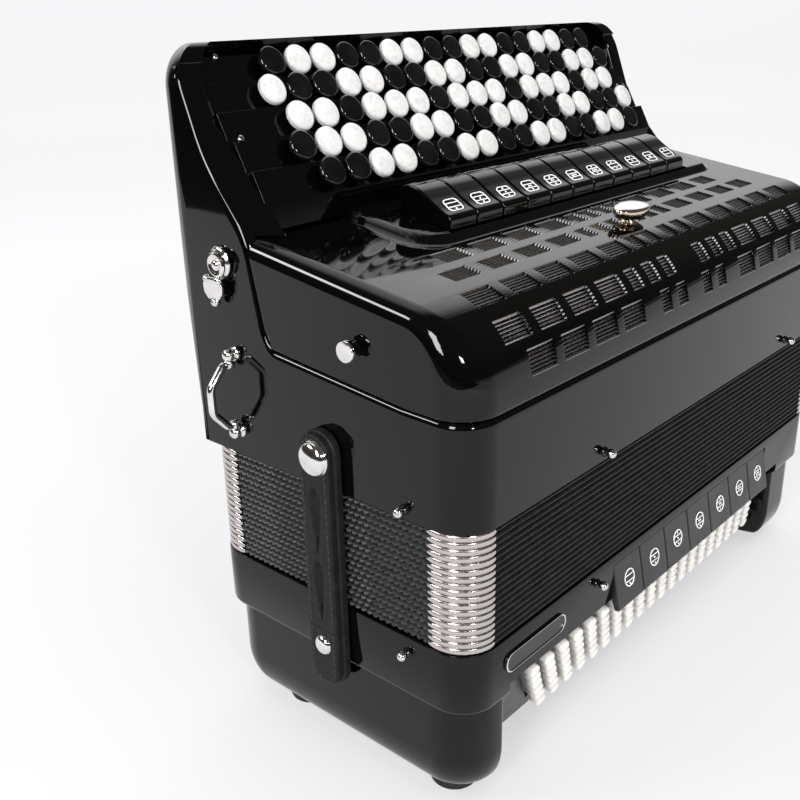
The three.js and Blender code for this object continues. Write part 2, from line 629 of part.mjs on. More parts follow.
// The bass case is set against the strap's fixed end by a short seat.
function strapBase(side) {
  const middle = side * (HALF + 1.15);
  const seat = box(middle - 0.85, middle + 0.85, FRONT + SNAP_STRAP_V - 8, FRONT + SNAP_STRAP_V + 8,
    BELLOWS_TOP - 92, BELLOWS_TOP - 78);
  const button = rod(5, 2.5, 10, X_AXIS)
    .translate(side * (HALF + SNAP_STRAP_THICK + 2), FRONT + SNAP_STRAP_V, BELLOWS_TOP - 86);
  return snapStrap(side, SNAP_STRAP_END, SNAP_STRAP_BEND - GAP, false).add(seat).add(solid(button));
}

const BAIL_V = 151.3;
const BAIL_W = [21, 50.6];
const BAIL_REACH = 22;
const WIRE = 2;

function bail(side) {
  const x = side * (HALF + 4);
  const y = FRONT + BAIL_V;
  const low = BELLOWS_TOP + BAIL_W[0];
  const high = BELLOWS_TOP + BAIL_W[1];
  const out = x + side * (BAIL_REACH - 6);
  const path = new THREE.CatmullRomCurve3([
    new THREE.Vector3(x, y, low - 2), new THREE.Vector3(x + side * 5, y, low - 2),
    new THREE.Vector3(out, y, low + 7), new THREE.Vector3(out, y, high - 7),
    new THREE.Vector3(x + side * 5, y, high + 2), new THREE.Vector3(x, y, high + 2),
  ]);
  const section = new THREE.Shape();
  section.absarc(0, 0, WIRE, 0, Math.PI * 2);
  return new THREE.ExtrudeGeometry(section,
    { steps: 12, extrudePath: path, curveSegments: 3, bevelEnabled: false });
}

// A round foot on the end face with a tab that hangs from it.
const HOOK_V = 155;
const HOOK_W = 104;
function hook(side) {
  const y = FRONT + HOOK_V;
  const z = BELLOWS_TOP + HOOK_W;
  const stud = rod(8, 6, 12, X_AXIS).translate(side * (HALF + GAP + 3), y, z);
  const x = side * (HALF + 5);
  const tab = box(x - 1.5, x + 1.5, y - 4, y + 10, z - 22, z);
  return solid(stud).add(tab);
}

[[-1, 'near'], [1, 'far']].forEach(([side, end]) => {
  place(bass, `bellows_strap_base_${end}`, strapBase(side), LEATHER);
  place(bass, `bellows_strap_${end}`,
    snapStrap(side, SNAP_STRAP_BEND, SNAP_STRAP_TOP, true), LEATHER);
  place(treble, `strap_bail_${end}`, bail(side), NICKEL);
  place(treble, `strap_hook_${end}`, hook(side), NICKEL);
});

export default accordion;
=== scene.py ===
"""Looks of the chromatic button accordion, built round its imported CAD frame.

Lengths are in millimetres until a mesh is made. A place is given as u, v, w: u from the near end face
along the long side, v from the front face towards the keyboard's back, w up from the top of the bellows.
"""
import math

import bmesh
import bpy
from mathutils import Matrix, Vector

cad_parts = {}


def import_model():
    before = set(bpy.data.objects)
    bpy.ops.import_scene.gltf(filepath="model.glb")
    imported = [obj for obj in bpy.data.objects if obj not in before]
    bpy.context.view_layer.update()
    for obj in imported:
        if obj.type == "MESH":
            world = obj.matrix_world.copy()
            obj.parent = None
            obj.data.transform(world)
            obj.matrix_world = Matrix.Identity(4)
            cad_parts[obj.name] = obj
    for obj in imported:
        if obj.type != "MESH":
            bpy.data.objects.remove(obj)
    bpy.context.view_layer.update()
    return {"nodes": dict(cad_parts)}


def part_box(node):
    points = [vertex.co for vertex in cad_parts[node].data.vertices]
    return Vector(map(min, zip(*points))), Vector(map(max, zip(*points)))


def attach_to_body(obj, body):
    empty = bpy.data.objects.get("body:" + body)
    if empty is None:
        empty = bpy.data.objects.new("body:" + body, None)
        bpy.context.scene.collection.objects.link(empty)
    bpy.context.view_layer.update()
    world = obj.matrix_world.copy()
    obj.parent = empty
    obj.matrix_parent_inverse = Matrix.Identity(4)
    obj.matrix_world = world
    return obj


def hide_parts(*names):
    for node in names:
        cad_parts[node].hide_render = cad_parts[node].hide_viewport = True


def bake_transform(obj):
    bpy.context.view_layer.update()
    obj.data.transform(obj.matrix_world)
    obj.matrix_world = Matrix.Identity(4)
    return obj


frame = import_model()
MM = 0.001


def box_of(node):
    """A CAD node's corners in millimetres."""
    return [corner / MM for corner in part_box(node)]


# ---- driving dimensions, from the frame ------------------------------------------------------------
CASE_LOW, CASE_HIGH = box_of("bass_case")
KEYS_LOW, KEYS_HIGH = box_of("treble_case")
HALF = CASE_HIGH.x
LENGTH = 2 * HALF
FRONT = CASE_LOW.y
DEPTH = CASE_HIGH.y - FRONT
KEYBOARD_DEPTH = KEYS_HIGH.y - FRONT
GAP = 0.3
TOP = KEYS_LOW.z - GAP
BELLOWS_BOTTOM = box_of("bellows")[0].z
BASS_SEAM = CASE_LOW.z
HEIGHT = KEYS_HIGH.z
FOOT_TOP = box_of("bass_bottom_cover")[0].z
CORNER = 20
WALL = 6
CHEEK = 15
ENDS = (("near", -1), ("far", 1))

X_AXIS = Vector((1, 0, 0))
Y_AXIS = Vector((0, 1, 0))
Z_AXIS = Vector((0, 0, 1))


def spot(u, v, w):
    return Vector((u - HALF, FRONT + v, TOP + w))


# ---- camera ----------------------------------------------------------------------------------------
def make_camera():
    azimuth, elevation, roll = (math.radians(a) for a in (-47.85, 21.57, -1.414))
    back = Vector((math.sin(azimuth) * math.cos(elevation),
                   -math.cos(azimuth) * math.cos(elevation), math.sin(elevation)))
    right = (-back).cross(Z_AXIS).normalized()
    up = right.cross(-back)
    data = bpy.data.cameras.new("camera")
    data.sensor_width = 36
    data.lens = 44.83
    camera = place_object("camera", data)
    turned_right = math.cos(roll) * right + math.sin(roll) * up
    turned_up = math.cos(roll) * up - math.sin(roll) * right
    camera.matrix_world = Matrix.Translation((-0.5044, -0.3307, 0.3793)) @ Matrix(
        (turned_right, turned_up, back)).transposed().to_4x4()
    bpy.context.scene.camera = camera


# ---- materials -------------------------------------------------------------------------------------
class Look:
    """A principled material with short calls for the nodes that drive it."""

    def __init__(self, name, color, roughness, metallic=0.0, coat=0.0):
        self.material = bpy.data.materials.new(name)
        self.material.use_nodes = True
        self.tree = self.material.node_tree
        self.shader = self.tree.nodes["Principled BSDF"]
        self.set("Base Color", (*color, 1))
        self.set("Roughness", roughness)
        self.set("Metallic", metallic)
        self.set("Coat Weight", coat)
        self.set("Coat Roughness", 0.03)
        self.place = self.node("ShaderNodeTexCoord").outputs["Object"]

    def node(self, kind, **values):
        made = self.tree.nodes.new(kind)
        for name, value in values.items():
            setattr(made, name, value)
        return made

    def set(self, name, value):
        self.shader.inputs[name].default_value = value

    def link(self, output, target):
        self.tree.links.new(output, target)

    def noise(self, scale, detail=3.0, distortion=0.0, stretch=(1, 1, 1)):
        shift = self.node("ShaderNodeMapping")
        shift.inputs["Scale"].default_value = stretch
        self.link(self.place, shift.inputs["Vector"])
        made = self.node("ShaderNodeTexNoise")
        made.inputs["Scale"].default_value = scale
        made.inputs["Detail"].default_value = detail
        made.inputs["Distortion"].default_value = distortion
        self.link(shift.outputs["Vector"], made.inputs["Vector"])
        return made.outputs["Fac"]

    def cells(self, scale, feature="F1"):
        made = self.node("ShaderNodeTexVoronoi", feature=feature)
        made.inputs["Scale"].default_value = scale
        self.link(self.place, made.inputs["Vector"])
        return made.outputs["Distance"]

    def ramp(self, source, *stops):
        """Maps a 0 to 1 source through (position, grey or colour) stops."""
        made = self.node("ShaderNodeValToRGB")
        elements = made.color_ramp.elements
        while len(elements) < len(stops):
            elements.new(0.5)
        for element, (position, value) in zip(elements, stops):
            element.position = position
            element.color = (*value, 1) if isinstance(value, tuple) else (value, value, value, 1)
        self.link(source, made.inputs["Fac"])
        return made.outputs["Color"]

    def math(self, operation, a, b):
        made = self.node("ShaderNodeMath", operation=operation)
        for value, target in ((a, made.inputs[0]), (b, made.inputs[1])):
            if isinstance(value, (int, float)):
                target.default_value = value
            else:
                self.link(value, target)
        return made.outputs["Value"]

    def drive(self, name, source, *stops):
        """Drives an input by a source, which stops map if there are any."""
        self.link(self.ramp(source, *stops) if stops else source, self.shader.inputs[name])

    def bump(self, source, height):
        """Relief of that height in millimetres, added to any relief before it."""
        made = self.node("ShaderNodeBump")
        made.inputs["Strength"].default_value = 1
        made.inputs["Distance"].default_value = height * MM
        self.link(source, made.inputs["Height"])
        inputs = self.shader.inputs
        before = inputs["Normal"].links
        if before:
            self.link(before[0].from_socket, made.inputs["Normal"])
        self.link(made.outputs["Normal"], inputs["Normal"])


def lacquer_look(rough=0.035):
    look = Look("lacquer", (0.001, 0.001, 0.0011), rough)
    look.set("Specular IOR Level", 0.3)
    haze = look.noise(9, 4)
    fine = look.noise(1400, 2, stretch=(1, 1, 0.15))
    mixed = look.math("ADD", look.math("MULTIPLY", haze, 0.6), look.math("MULTIPLY", fine, 0.4))
    look.drive("Roughness", mixed, (0.3, rough * 0.6), (0.75, rough * 1.9))
    look.drive("Base Color", look.noise(700, 5),
               (0.62, (0.0009, 0.0009, 0.001)), (0.8, (0.003, 0.003, 0.0033)))
    look.bump(look.noise(55, 1), 0.012)
    return look.material


def satin_look():
    look = Look("satin_black", (0.011, 0.011, 0.012), 0.34)
    look.drive("Roughness", look.noise(60, 5), (0.3, 0.28), (0.7, 0.42))
    look.bump(look.noise(2600, 2), 0.02)
    return look.material


def cap_look():
    look = Look("black_cap", (0.006, 0.006, 0.0065), 0.08)
    look.drive("Roughness", look.noise(240, 4), (0.35, 0.03), (0.7, 0.07))
    look.drive("Base Color", look.noise(90, 3), (0.3, (0.0012, 0.0012, 0.0012)), (0.8, (0.005, 0.005, 0.005)))
    return look.material


def pearl_look(name="pearl", tint=(0.67, 0.662, 0.655)):
    look = Look(name, (0.8, 0.79, 0.77), 0.2, coat=0.4)
    swirl = look.noise(75, 4, 2.2)
    flake = look.cells(420)
    mixed = look.math("ADD", look.math("MULTIPLY", swirl, 0.75), look.math("MULTIPLY", flake, 0.25))
    shades = [tuple(grey * part for part in tint) for grey in (0.66, 0.8, 0.88)]
    look.drive("Base Color", mixed, (0.28, shades[0]), (0.48, shades[1]), (0.68, shades[2]))
    look.drive("Roughness", swirl, (0.3, 0.14), (0.7, 0.26))
    look.set("Subsurface Weight", 0.12)
    look.set("Subsurface Radius", (0.003, 0.0025, 0.002))
    look.bump(swirl, 0.03)
    return look.material


def metal_look(name, color, rough, mottle=0.12, scratch=0.01):
    look = Look(name, color, rough, metallic=1)
    tone = look.noise(160, 4)
    dark = tuple(part * (1 - mottle) for part in color)
    look.drive("Base Color", tone, (0.35, dark), (0.65, color))
    hairs = look.noise(900, 3, stretch=(1, 0.08, 1))
    look.drive("Roughness", hairs, (0.3, rough * 0.7), (0.7, rough * 1.6))
    look.bump(hairs, scratch)
    return look.material


def leather_look(name, color=(0.0055, 0.0055, 0.006), rough=0.42, grain=900, relief=0.12):
    look = Look(name, color, rough)
    look.set("Specular IOR Level", 0.16)
    pores = look.cells(grain)
    folds = look.noise(grain * 0.25, 4)
    light = tuple(part * 1.9 for part in color)
    look.drive("Base Color", folds, (0.35, color), (0.75, light))
    look.drive("Roughness", pores, (0.1, rough * 0.8), (0.6, min(rough * 1.35, 1)))
    look.bump(look.math("ADD", pores, look.math("MULTIPLY", folds, 0.6)), relief)
    return look.material


def tape_look():
    look = Look("bellows_tape", (0.02, 0.02, 0.022), 0.34)
    weave = look.noise(2300, 2, stretch=(1, 1, 0.35))
    look.drive("Roughness", weave, (0.3, 0.3), (0.7, 0.55))
    look.drive("Base Color", look.noise(500, 4), (0.35, (0.014, 0.014, 0.016)), (0.7, (0.036, 0.036, 0.039)))
    look.bump(weave, 0.06)
    return look.material


def wood_look():
    look = Look("wood", (0.5, 0.32, 0.16), 0.55)
    grain = look.noise(120, 6, 0.6, stretch=(0.06, 1, 1))
    look.drive("Base Color", grain,
               (0.3, (0.33, 0.19, 0.09)), (0.5, (0.52, 0.34, 0.18)), (0.7, (0.63, 0.45, 0.26)))
    look.drive("Roughness", grain, (0.3, 0.65), (0.7, 0.45))
    look.bump(grain, 0.1)
    return look.material


LACQUER = lacquer_look()
SATIN = satin_look()
BLACK_CAP = cap_look()
PEARL = pearl_look()
BASS_WHITE = pearl_look("bass_button_white", (0.94, 0.92, 0.875))
MARK_WHITE = pearl_look("mark_white", (1.0, 1.0, 1.0))
NICKEL = metal_look("nickel", (0.76, 0.75, 0.735), 0.09)
CUT_METAL = metal_look("cut_metal", (0.5, 0.475, 0.465), 0.28)
WARM_NICKEL = metal_look("warm_nickel", (0.56, 0.52, 0.505), 0.2, 0.06, 0.002)
GILT = metal_look("gilt", (0.72, 0.62, 0.47), 0.16)
STEEL = metal_look("steel", (0.5, 0.5, 0.51), 0.3)
LEATHER = leather_look("leather")
THREAD = leather_look("thread", (0.03, 0.03, 0.032), 0.6, 3000, 0.05)
RUBBER = leather_look("rubber", (0.016, 0.016, 0.016), 0.7, 1500, 0.06)
CARD = leather_look("bellows_card", (0.009, 0.009, 0.010), 0.38, 1400, 0.05)
TAPE = tape_look()
CLOTH = leather_look("grille_cloth", (0.006, 0.006, 0.006), 0.85, 2200, 0.12)
WOOD = wood_look()


# ---- meshes ----------------------------------------------------------------------------------------
def clamp(value, low=0, high=1):
    return min(max(value, low), high)


def smooth(t):
    """Eases 0 to 1, level at both ends."""
    t = clamp(t)
    return t * t * (3 - 2 * t)


def circle(steps):
    """Angles once round."""
    return [2 * math.pi * k / steps for k in range(steps)]


def quarter(steps, first=0):
    """Angles from level to upright."""
    return [math.pi / 2 * k / steps for k in range(first, steps + 1)]


def dome(radius, height, steps, base=0, first=0):
    """Half section of a dome, from its rim to its top."""
    return [(radius * math.cos(a), base + height * math.sin(a)) for a in quarter(steps, first)]


class Solid:
    """Points in millimetres and faces, gathered bit by bit, each face with its material's number."""

    def __init__(self):
        self.points = []
        self.faces = []
        self.looks = []

    def add(self, points, faces, look=0):
        first = len(self.points)
        self.points += [tuple(point) for point in points]
        self.faces += [tuple(first + i for i in face) for face in faces]
        self.looks += [look] * len(faces)

    def loft(self, rings, look=0, closed=True, caps=True):
        """Skins rings of equal count, in order."""
        size = len(rings[0])
        faces = []
        for start in range(0, (len(rings) - 1) * size, size):
            for i in range(size if closed else size - 1):
                j = (i + 1) % size
                faces.append((start + i, start + j, start + size + j, start + size + i))
        if caps:
            last = (len(rings) - 1) * size
            faces += [tuple(reversed(range(size))), tuple(range(last, last + size))]
        self.add([point for ring in rings for point in ring], faces, look)

    def lathe(self, profile, origin, axis, steps=24, look=0):
        """Turns (radius, height) points about an axis through origin."""
        axis = Vector(axis).normalized()
        side = axis.orthogonal().normalized()
        other = axis.cross(side)
        rings = []
        for radius, height in profile:
            centre = Vector(origin) + axis * height
            rings.append([centre + radius * (math.cos(a) * side + math.sin(a) * other)
                          for a in circle(steps)])
        self.loft(rings, look)

    def sweep(self, path, radius, steps=10, look=0, taper=None):
        """A round bar along a path of points."""
        path = [Vector(point) for point in path]
        side = (path[1] - path[0]).orthogonal().normalized()
        rings = []
        for i, point in enumerate(path):
            along = (path[min(i + 1, len(path) - 1)] - path[max(i - 1, 0)]).normalized()
            side = (side - along * side.dot(along)).normalized()
            other = along.cross(side)
            size = radius * (taper(i / (len(path) - 1)) if taper else 1)
            rings.append([point + size * (math.cos(a) * side + math.sin(a) * other) for a in circle(steps)])
        self.loft(rings, look)

    def prism(self, outline, origin, across, up, depth, look=0):
        """An outline of (a, b) points, a along across and b along up, pushed through by the vector depth."""
        ring = [Vector(origin) + a * Vector(across) + b * Vector(up) for a, b in outline]
        self.loft([ring, [point + Vector(depth) for point in ring]], look)


def edit(made):
    """A mesh opened for editing."""
    shape = bmesh.new()
    shape.from_mesh(made)
    return shape


def close(shape, mesh):
    shape.to_mesh(mesh)
    shape.free()


def place_object(name, data):
    made = bpy.data.objects.new(name, data)
    bpy.context.scene.collection.objects.link(made)
    return made


def mesh_object(name, solid, looks=(), sharp=35):
    mesh = bpy.data.meshes.new(name)
    mesh.from_pydata([Vector(point) * MM for point in solid.points], [], solid.faces)
    for look in looks:
        mesh.materials.append(look)
    mesh.polygons.foreach_set("material_index", solid.looks)
    shape = edit(mesh)
    bmesh.ops.remove_doubles(shape, verts=shape.verts, dist=1e-6)
    bmesh.ops.recalc_face_normals(shape, faces=shape.faces)
    close(shape, mesh)
    shade(mesh, sharp)
    return place_object(name, mesh)


def shade(mesh, sharp=35):
    mesh.shade_smooth()
    mesh.set_sharp_from_angle(angle=math.radians(sharp))


def attach(made, body, slot, *nodes):
    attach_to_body(made, body)
    if nodes:
        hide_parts(*nodes)
    return made


def piece(name, solid, looks, body, slot, *nodes, sharp=35):
    return attach(mesh_object(name, solid, looks, sharp), body, slot, *nodes)


def settle(made):
    """Applies a piece's modifiers to its mesh."""
    graph = bpy.context.evaluated_depsgraph_get()
    mesh = bpy.data.meshes.new_from_object(made.evaluated_get(graph))
    made.modifiers.clear()
    made.data = mesh


def tidy_faces(made):
    """Joins coplanar faces that a boolean left split."""
    shape = edit(made.data)
    bmesh.ops.remove_doubles(shape, verts=shape.verts, dist=2e-6)
    bmesh.ops.dissolve_limit(shape, angle_limit=math.radians(0.4), verts=shape.verts, edges=shape.edges)
    close(shape, made.data)


def carve(made, tool, operation="DIFFERENCE"):
    modifier = made.modifiers.new("carve", "BOOLEAN")
    modifier.object = tool
    modifier.operation = operation
    modifier.solver = "EXACT"
    settle(made)
    bpy.data.objects.remove(tool)


def bevel(made, width, weigh=None, segments=4, angle=32):
    """Rounds sharp edges. weigh gives an edge's share of the width from its middle in millimetres."""
    modifier = made.modifiers.new("bevel", "BEVEL")
    modifier.width = width * MM
    modifier.segments = segments
    modifier.use_clamp_overlap = weigh is None
    modifier.harden_normals = True
    modifier.angle_limit = math.radians(angle)
    if weigh:
        modifier.limit_method = "WEIGHT"
        shape = edit(made.data)
        layer = shape.edges.layers.float.get("bevel_weight_edge") or shape.edges.layers.float.new(
            "bevel_weight_edge")
        for edge in shape.edges:
            turn = edge.calc_face_angle(0)
            middle = (edge.verts[0].co + edge.verts[1].co) / 2 / MM
            edge[layer] = weigh(middle) if turn > math.radians(angle) else 0
        close(shape, made.data)
    settle(made)
    shade(made.data)
    weigh_normals(made)


def weigh_normals(made):
    """Keeps flat faces flat beside their rounded edges."""
    modifier = made.modifiers.new("normals", "WEIGHTED_NORMAL")
    modifier.keep_sharp = True
    modifier.weight = 60
    settle(made)


def rounded(points, steps=8):
    """A closed outline of (a, b, radius) corners, each rounded by its radius."""
    outline = []
    for i, (a, b, radius) in enumerate(points):
        here = Vector((a, b))
        if not radius:
            outline.append(here)
            continue
        before = Vector(points[i - 1][:2]) - here
        after = Vector(points[(i + 1) % len(points)][:2]) - here
        half = before.angle(after) / 2
        reach = min(radius / math.tan(half), before.length * 0.49, after.length * 0.49)
        radius = reach * math.tan(half)
        inward = (before.normalized() + after.normalized()).normalized()
        centre = here + inward * radius / math.sin(half)
        first = here + before.normalized() * reach - centre
        last = here + after.normalized() * reach - centre
        start = math.atan2(first.y, first.x)
        turn = (math.atan2(last.y, last.x) - start + math.pi) % (2 * math.pi) - math.pi
        for k in range(steps + 1):
            angle = start + turn * k / steps
            outline.append(centre + radius * Vector((math.cos(angle), math.sin(angle))))
    return outline


def rectangle(width, height, radius, steps=8):
    x, y = width / 2, height / 2
    return rounded([(-x, -y, radius), (x, -y, radius), (x, y, radius), (-x, y, radius)], steps)


def stadium(length, width):
    return rectangle(length, width, width / 2 * 0.999, 10)


def side_prism(solid, outline, x0, x1):
    """A [v, w] outline run along X."""
    ring = [(x0, FRONT + v, TOP + w) for v, w in outline]
    solid.loft([ring, [(x1, y, z) for _, y, z in ring]])


def upright_ring(inset, z, depth=DEPTH, radius=None, steps=10):
    radius = max(CORNER - inset, 3) if radius is None else radius
    outline = rectangle(LENGTH - 2 * inset, depth - 2 * inset, radius, steps)
    return [(x, FRONT + depth / 2 + y, z) for x, y in outline]


def dress(name, look, width):
    """Gives a CAD node that stays visible its look and eased edges."""
    node = frame["nodes"][name]
    node.data.materials.clear()
    node.data.materials.append(look)
    ease(node, width)


def tool_from(build):
    solid = Solid()
    build(solid)
    return mesh_object("tool", solid)


# ---- treble case -----------------------------------------------------------------------------------
SEAM_FRONT = 54
SEAM_BACK = (122.8, 64)
SEAM_KNEE = (38.8, SEAM_FRONT + 1.2)
CHEEK_FOOT = (134.3, 117.3)
CHEEK_ROOT = (128, 74)
BACK_BREAK = 165
BACK_WALL = 3
CASE_TOP = HEIGHT - TOP
TOP_ROUND = 20
LAND_START = 6                                # the cheeks' front faces start to rise here
LAND_END = CHEEK + 1.3
CHEEK_HEAD = (183, CASE_TOP)
CHEEK_LINE = ((178.8, 197, 16), (161.3, 150.3, 90), (*CHEEK_FOOT, 40))


def back_v(w):
    return DEPTH + (KEYBOARD_DEPTH - DEPTH) * min(w / BACK_BREAK, 1)


def plan_inset(point):
    """How far a point lies inside the upright sides, with their round corners."""
    x = HALF - abs(point.x)
    y = min(point.y - FRONT, FRONT + KEYBOARD_DEPTH - point.y)
    if x < CORNER and y < CORNER:
        return CORNER - math.hypot(CORNER - x, CORNER - y)
    return min(x, y)


def round_top(made):
    """Rounds the case's top corners, seen from the front, by drawing its ends in near the top."""
    shape = edit(made.data)
    base = HEIGHT - TOP_ROUND
    for k in range(14):
        level = (base + TOP_ROUND * math.sin(math.pi / 2 * k / 14)) * MM
        bmesh.ops.bisect_plane(shape, geom=[*shape.verts, *shape.edges, *shape.faces], dist=1e-6,
                               plane_co=(0, 0, level), plane_no=Z_AXIS)
    start = HALF - 3 * TOP_ROUND
    for vert in shape.verts:
        rise = clamp(vert.co.z / MM - base, 0, TOP_ROUND)
        draw = TOP_ROUND - math.sqrt(TOP_ROUND ** 2 - rise ** 2)
        share = max(abs(vert.co.x) / MM - start, 0) / (HALF - start)
        vert.co.x -= math.copysign(draw * share, vert.co.x) * MM
    close(shape, made.data)
    shade(made.data)
    weigh_normals(made)


def at_level(line, w):
    """The v of a line of (v, w) points at a level."""
    for (v0, w0), (v1, w1) in zip(line, line[1:]):
        if min(w0, w1) <= w <= max(w0, w1):
            return v0 + (v1 - v0) * (w - w0) / (w1 - w0 or 1)
    return line[-1][0]


def cheek_lands():
    """The cheeks' front faces, which rise inwards to cover the ends of the treads."""
    line = rounded([(*CHEEK_HEAD, 0), *CHEEK_LINE, (*CHEEK_ROOT, 0)])
    solid = Solid()
    levels = [118.2 + 2 * k for k in range(31)]
    for _, side in ENDS:
        rings = []
        for w in levels:
            outer = at_level(line, w)
            inner = min(tread_edge(w) - 1, outer + 2)
            ring = [(LAND_START + (LAND_END - LAND_START) * t, outer + 0.15 + (inner - outer - 0.15) * t)
                    for t in (0, 0.1, 0.25, 0.45, 0.65, 0.82, 0.94)]
            ring += [(LAND_END - 0.3, inner + 0.25), (LAND_END, inner + 0.9), (LAND_END, outer + 6),
                     (LAND_START, outer + 6)]
            rings.append([(side * (HALF - u), FRONT + v, TOP + w) for u, v in ring])
        solid.loft(rings)
    piece("cheek_lands", solid, [LACQUER], "treble", "lacquer", sharp=40)


def treble_case():
    outline = rounded([
        (0, GAP, 0), (DEPTH, GAP, 0), (KEYBOARD_DEPTH, BACK_BREAK, 80), (KEYBOARD_DEPTH, CASE_TOP, 9),
        (*CHEEK_HEAD, 7), *CHEEK_LINE, (*CHEEK_ROOT, 30), (*SEAM_BACK, 8), (*SEAM_KNEE, 60),
        (0, SEAM_FRONT, 0)])
    case = tool_from(lambda solid: side_prism(solid, outline, -HALF, HALF))
    carve(case, tool_from(lambda solid: solid.loft(
        [upright_ring(0, z, KEYBOARD_DEPTH) for z in (0, HEIGHT + WALL)])), "INTERSECT")
    chamber = [(WALL, -9), (back_v(-9) - WALL, -9), (back_v(SEAM_FRONT) - WALL, SEAM_FRONT),
               (WALL, SEAM_FRONT)]
    carve(case, tool_from(lambda solid: side_prism(solid, chamber, WALL - HALF, HALF - WALL)))
    neck = [(WALL, SEAM_FRONT - 1), (back_v(SEAM_FRONT) - WALL, SEAM_FRONT - 1),
            (back_v(BACK_BREAK) - BACK_WALL, BACK_BREAK), (KEYBOARD_DEPTH - BACK_WALL, CASE_TOP - 5.5),
            (KEYBOARD_DEPTH - 8.6, CASE_TOP - 5.5), (KEYBOARD_DEPTH - 15, CASE_TOP + 9),
            (-9, CASE_TOP + 9), (-9, 80), (WALL, 80)]
    carve(case, tool_from(lambda solid: side_prism(solid, neck, CHEEK - HALF, HALF - CHEEK)))

    def share(middle):
        w = middle.z - TOP
        if w < 2:
            return 0.15
        if w > CASE_TOP - 9.5 and abs(middle.x) > HALF - CHEEK - 2:
            return 0
        if w < CHEEK_FOOT[1] - 20:
            return 0.8 if plan_inset(middle) < 0.7 else 0
        if abs(middle.x) < HALF - CHEEK - 1:
            return 0.25
        return 0.6 if abs(middle.x) < HALF - CHEEK + 1 else 1
    tidy_faces(case)
    bevel(case, 4.5, share, 5)
    round_top(case)
    case.name = "treble_shell"
    case.data.materials.append(LACQUER)
    attach(case, "treble", "lacquer", "treble_case")


# ---- grille cover ----------------------------------------------------------------------------------
COVER_R = 42
COVER_SLOPE = 0.16
COVER_SKIN = 3
SEAM_ROUND = 1.8
ARC_W = 60
SLOPE_ANGLE = math.atan(COVER_SLOPE)
ARC_LENGTH = COVER_R * (math.pi / 2 - SLOPE_ANGLE)
FLAT_FOOT = ARC_W - SEAM_FRONT - GAP          # upright stretch between the seam and the arc
CELL_HEIGHT = 12.4
CELL_RIM = 0.5
CELL_DEPTH = 0.8
SLOTS = 6
SLOT_EDGE = 0.3                               # chamfer along each slot
WIDE = 21
NARROW = 10.5


def along_arc(angle):
    return FLAT_FOOT + COVER_R * math.radians(angle)


def along_top(v):
    """Distance from the seam to a place on the sloping top."""
    return FLAT_FOOT + ARC_LENGTH + (v - COVER_R + COVER_R * math.sin(SLOPE_ANGLE)) / math.cos(SLOPE_ANGLE)


def cover_section(s):
    """(v, w) at distance s from the seam, and the outward normal there."""
    if s < FLAT_FOOT:
        return (0, SEAM_FRONT + GAP + s), (-1, 0)
    if s < FLAT_FOOT + ARC_LENGTH:
        angle = (s - FLAT_FOOT) / COVER_R
        out = (-math.cos(angle), math.sin(angle))
        return (COVER_R + COVER_R * out[0], ARC_W + COVER_R * out[1]), out
    out = (-math.sin(SLOPE_ANGLE), math.cos(SLOPE_ANGLE))
    rest = s - FLAT_FOOT - ARC_LENGTH
    v = COVER_R + COVER_R * out[0] + rest * math.cos(SLOPE_ANGLE)
    return (v, ARC_W + COVER_R * out[1] + rest * math.sin(SLOPE_ANGLE)), out


def cover_top(v):
    return cover_section(along_top(v))[0][1]


# Rows of louvred cells: place along the section, first wide cell, pitch, count, then narrow cells.
CELL_ROWS = (
    (along_arc(16), 45, 27.2, 4, (166, 184)),
    (along_arc(40), 33, 27.7, 4, (144, 161.5, 179)),
    (along_arc(68), 32.5, 28.3, 5, (173, 189)),
    (along_top(48), 43.5, 29, 4, (158.5, 174, 189)),
    (along_top(66), 60, 29.6, 4, (177, 191.5)),
)
PLATEAU = (62, 385, 74.5, 160)                # a raised bed round the registers: u0, u1, v0, v1
PLATEAU_RADIUS = 24
PLATEAU_RISE = 4.2
PLATEAU_SLOPE = 8
REGISTERS = 11
REGISTER_PITCH = 22.9
REGISTER_U0 = 89
WELL = (REGISTER_U0 - 2, REGISTER_U0 + REGISTERS * REGISTER_PITCH + 2, 80.5, 122)
END_STEPS = 7
CLOTH_GAP = 0.9                               # from the cover's inside
CLOTH_END = 24
CLOTH_BACK = 78


def cells_of(row):
    """(start, end) in u of each cell of a row, mirrored about the middle."""
    _, first, pitch, count, narrow = row
    half = [(first + pitch * i, first + pitch * i + WIDE) for i in range(count)]
    half += [(start, start + NARROW) for start in narrow]
    return half + [(LENGTH - end, LENGTH - start) for start, end in reversed(half)]


def plateau_rise(u, v):
    """Height of the bed round the registers: level inside a rounded rectangle, easing down to its edge."""
    u0, u1, v0, v1 = PLATEAU
    across = max(u0 + PLATEAU_RADIUS - u, u - u1 + PLATEAU_RADIUS, 0)
    ahead = max(v0 + PLATEAU_RADIUS - v, v - v1 + PLATEAU_RADIUS, 0)
    inside = PLATEAU_RADIUS - math.hypot(across, ahead)
    t = clamp(inside / PLATEAU_SLOPE)
    return PLATEAU_RISE * t * t * t * (t * (6 * t - 15) + 10)


def end_radius(s):
    """The cover's rounding towards its ends: wide at the front corner, tighter along the top."""
    return 20 - 11 * smooth((s - FLAT_FOOT) / ARC_LENGTH)


def seam_ease(s):
    """How far the cover's lower edge is rounded in at distance s from the seam."""
    rest = max(SEAM_ROUND - s, 0)
    return SEAM_ROUND - math.sqrt(max(SEAM_ROUND ** 2 - rest ** 2, 0))


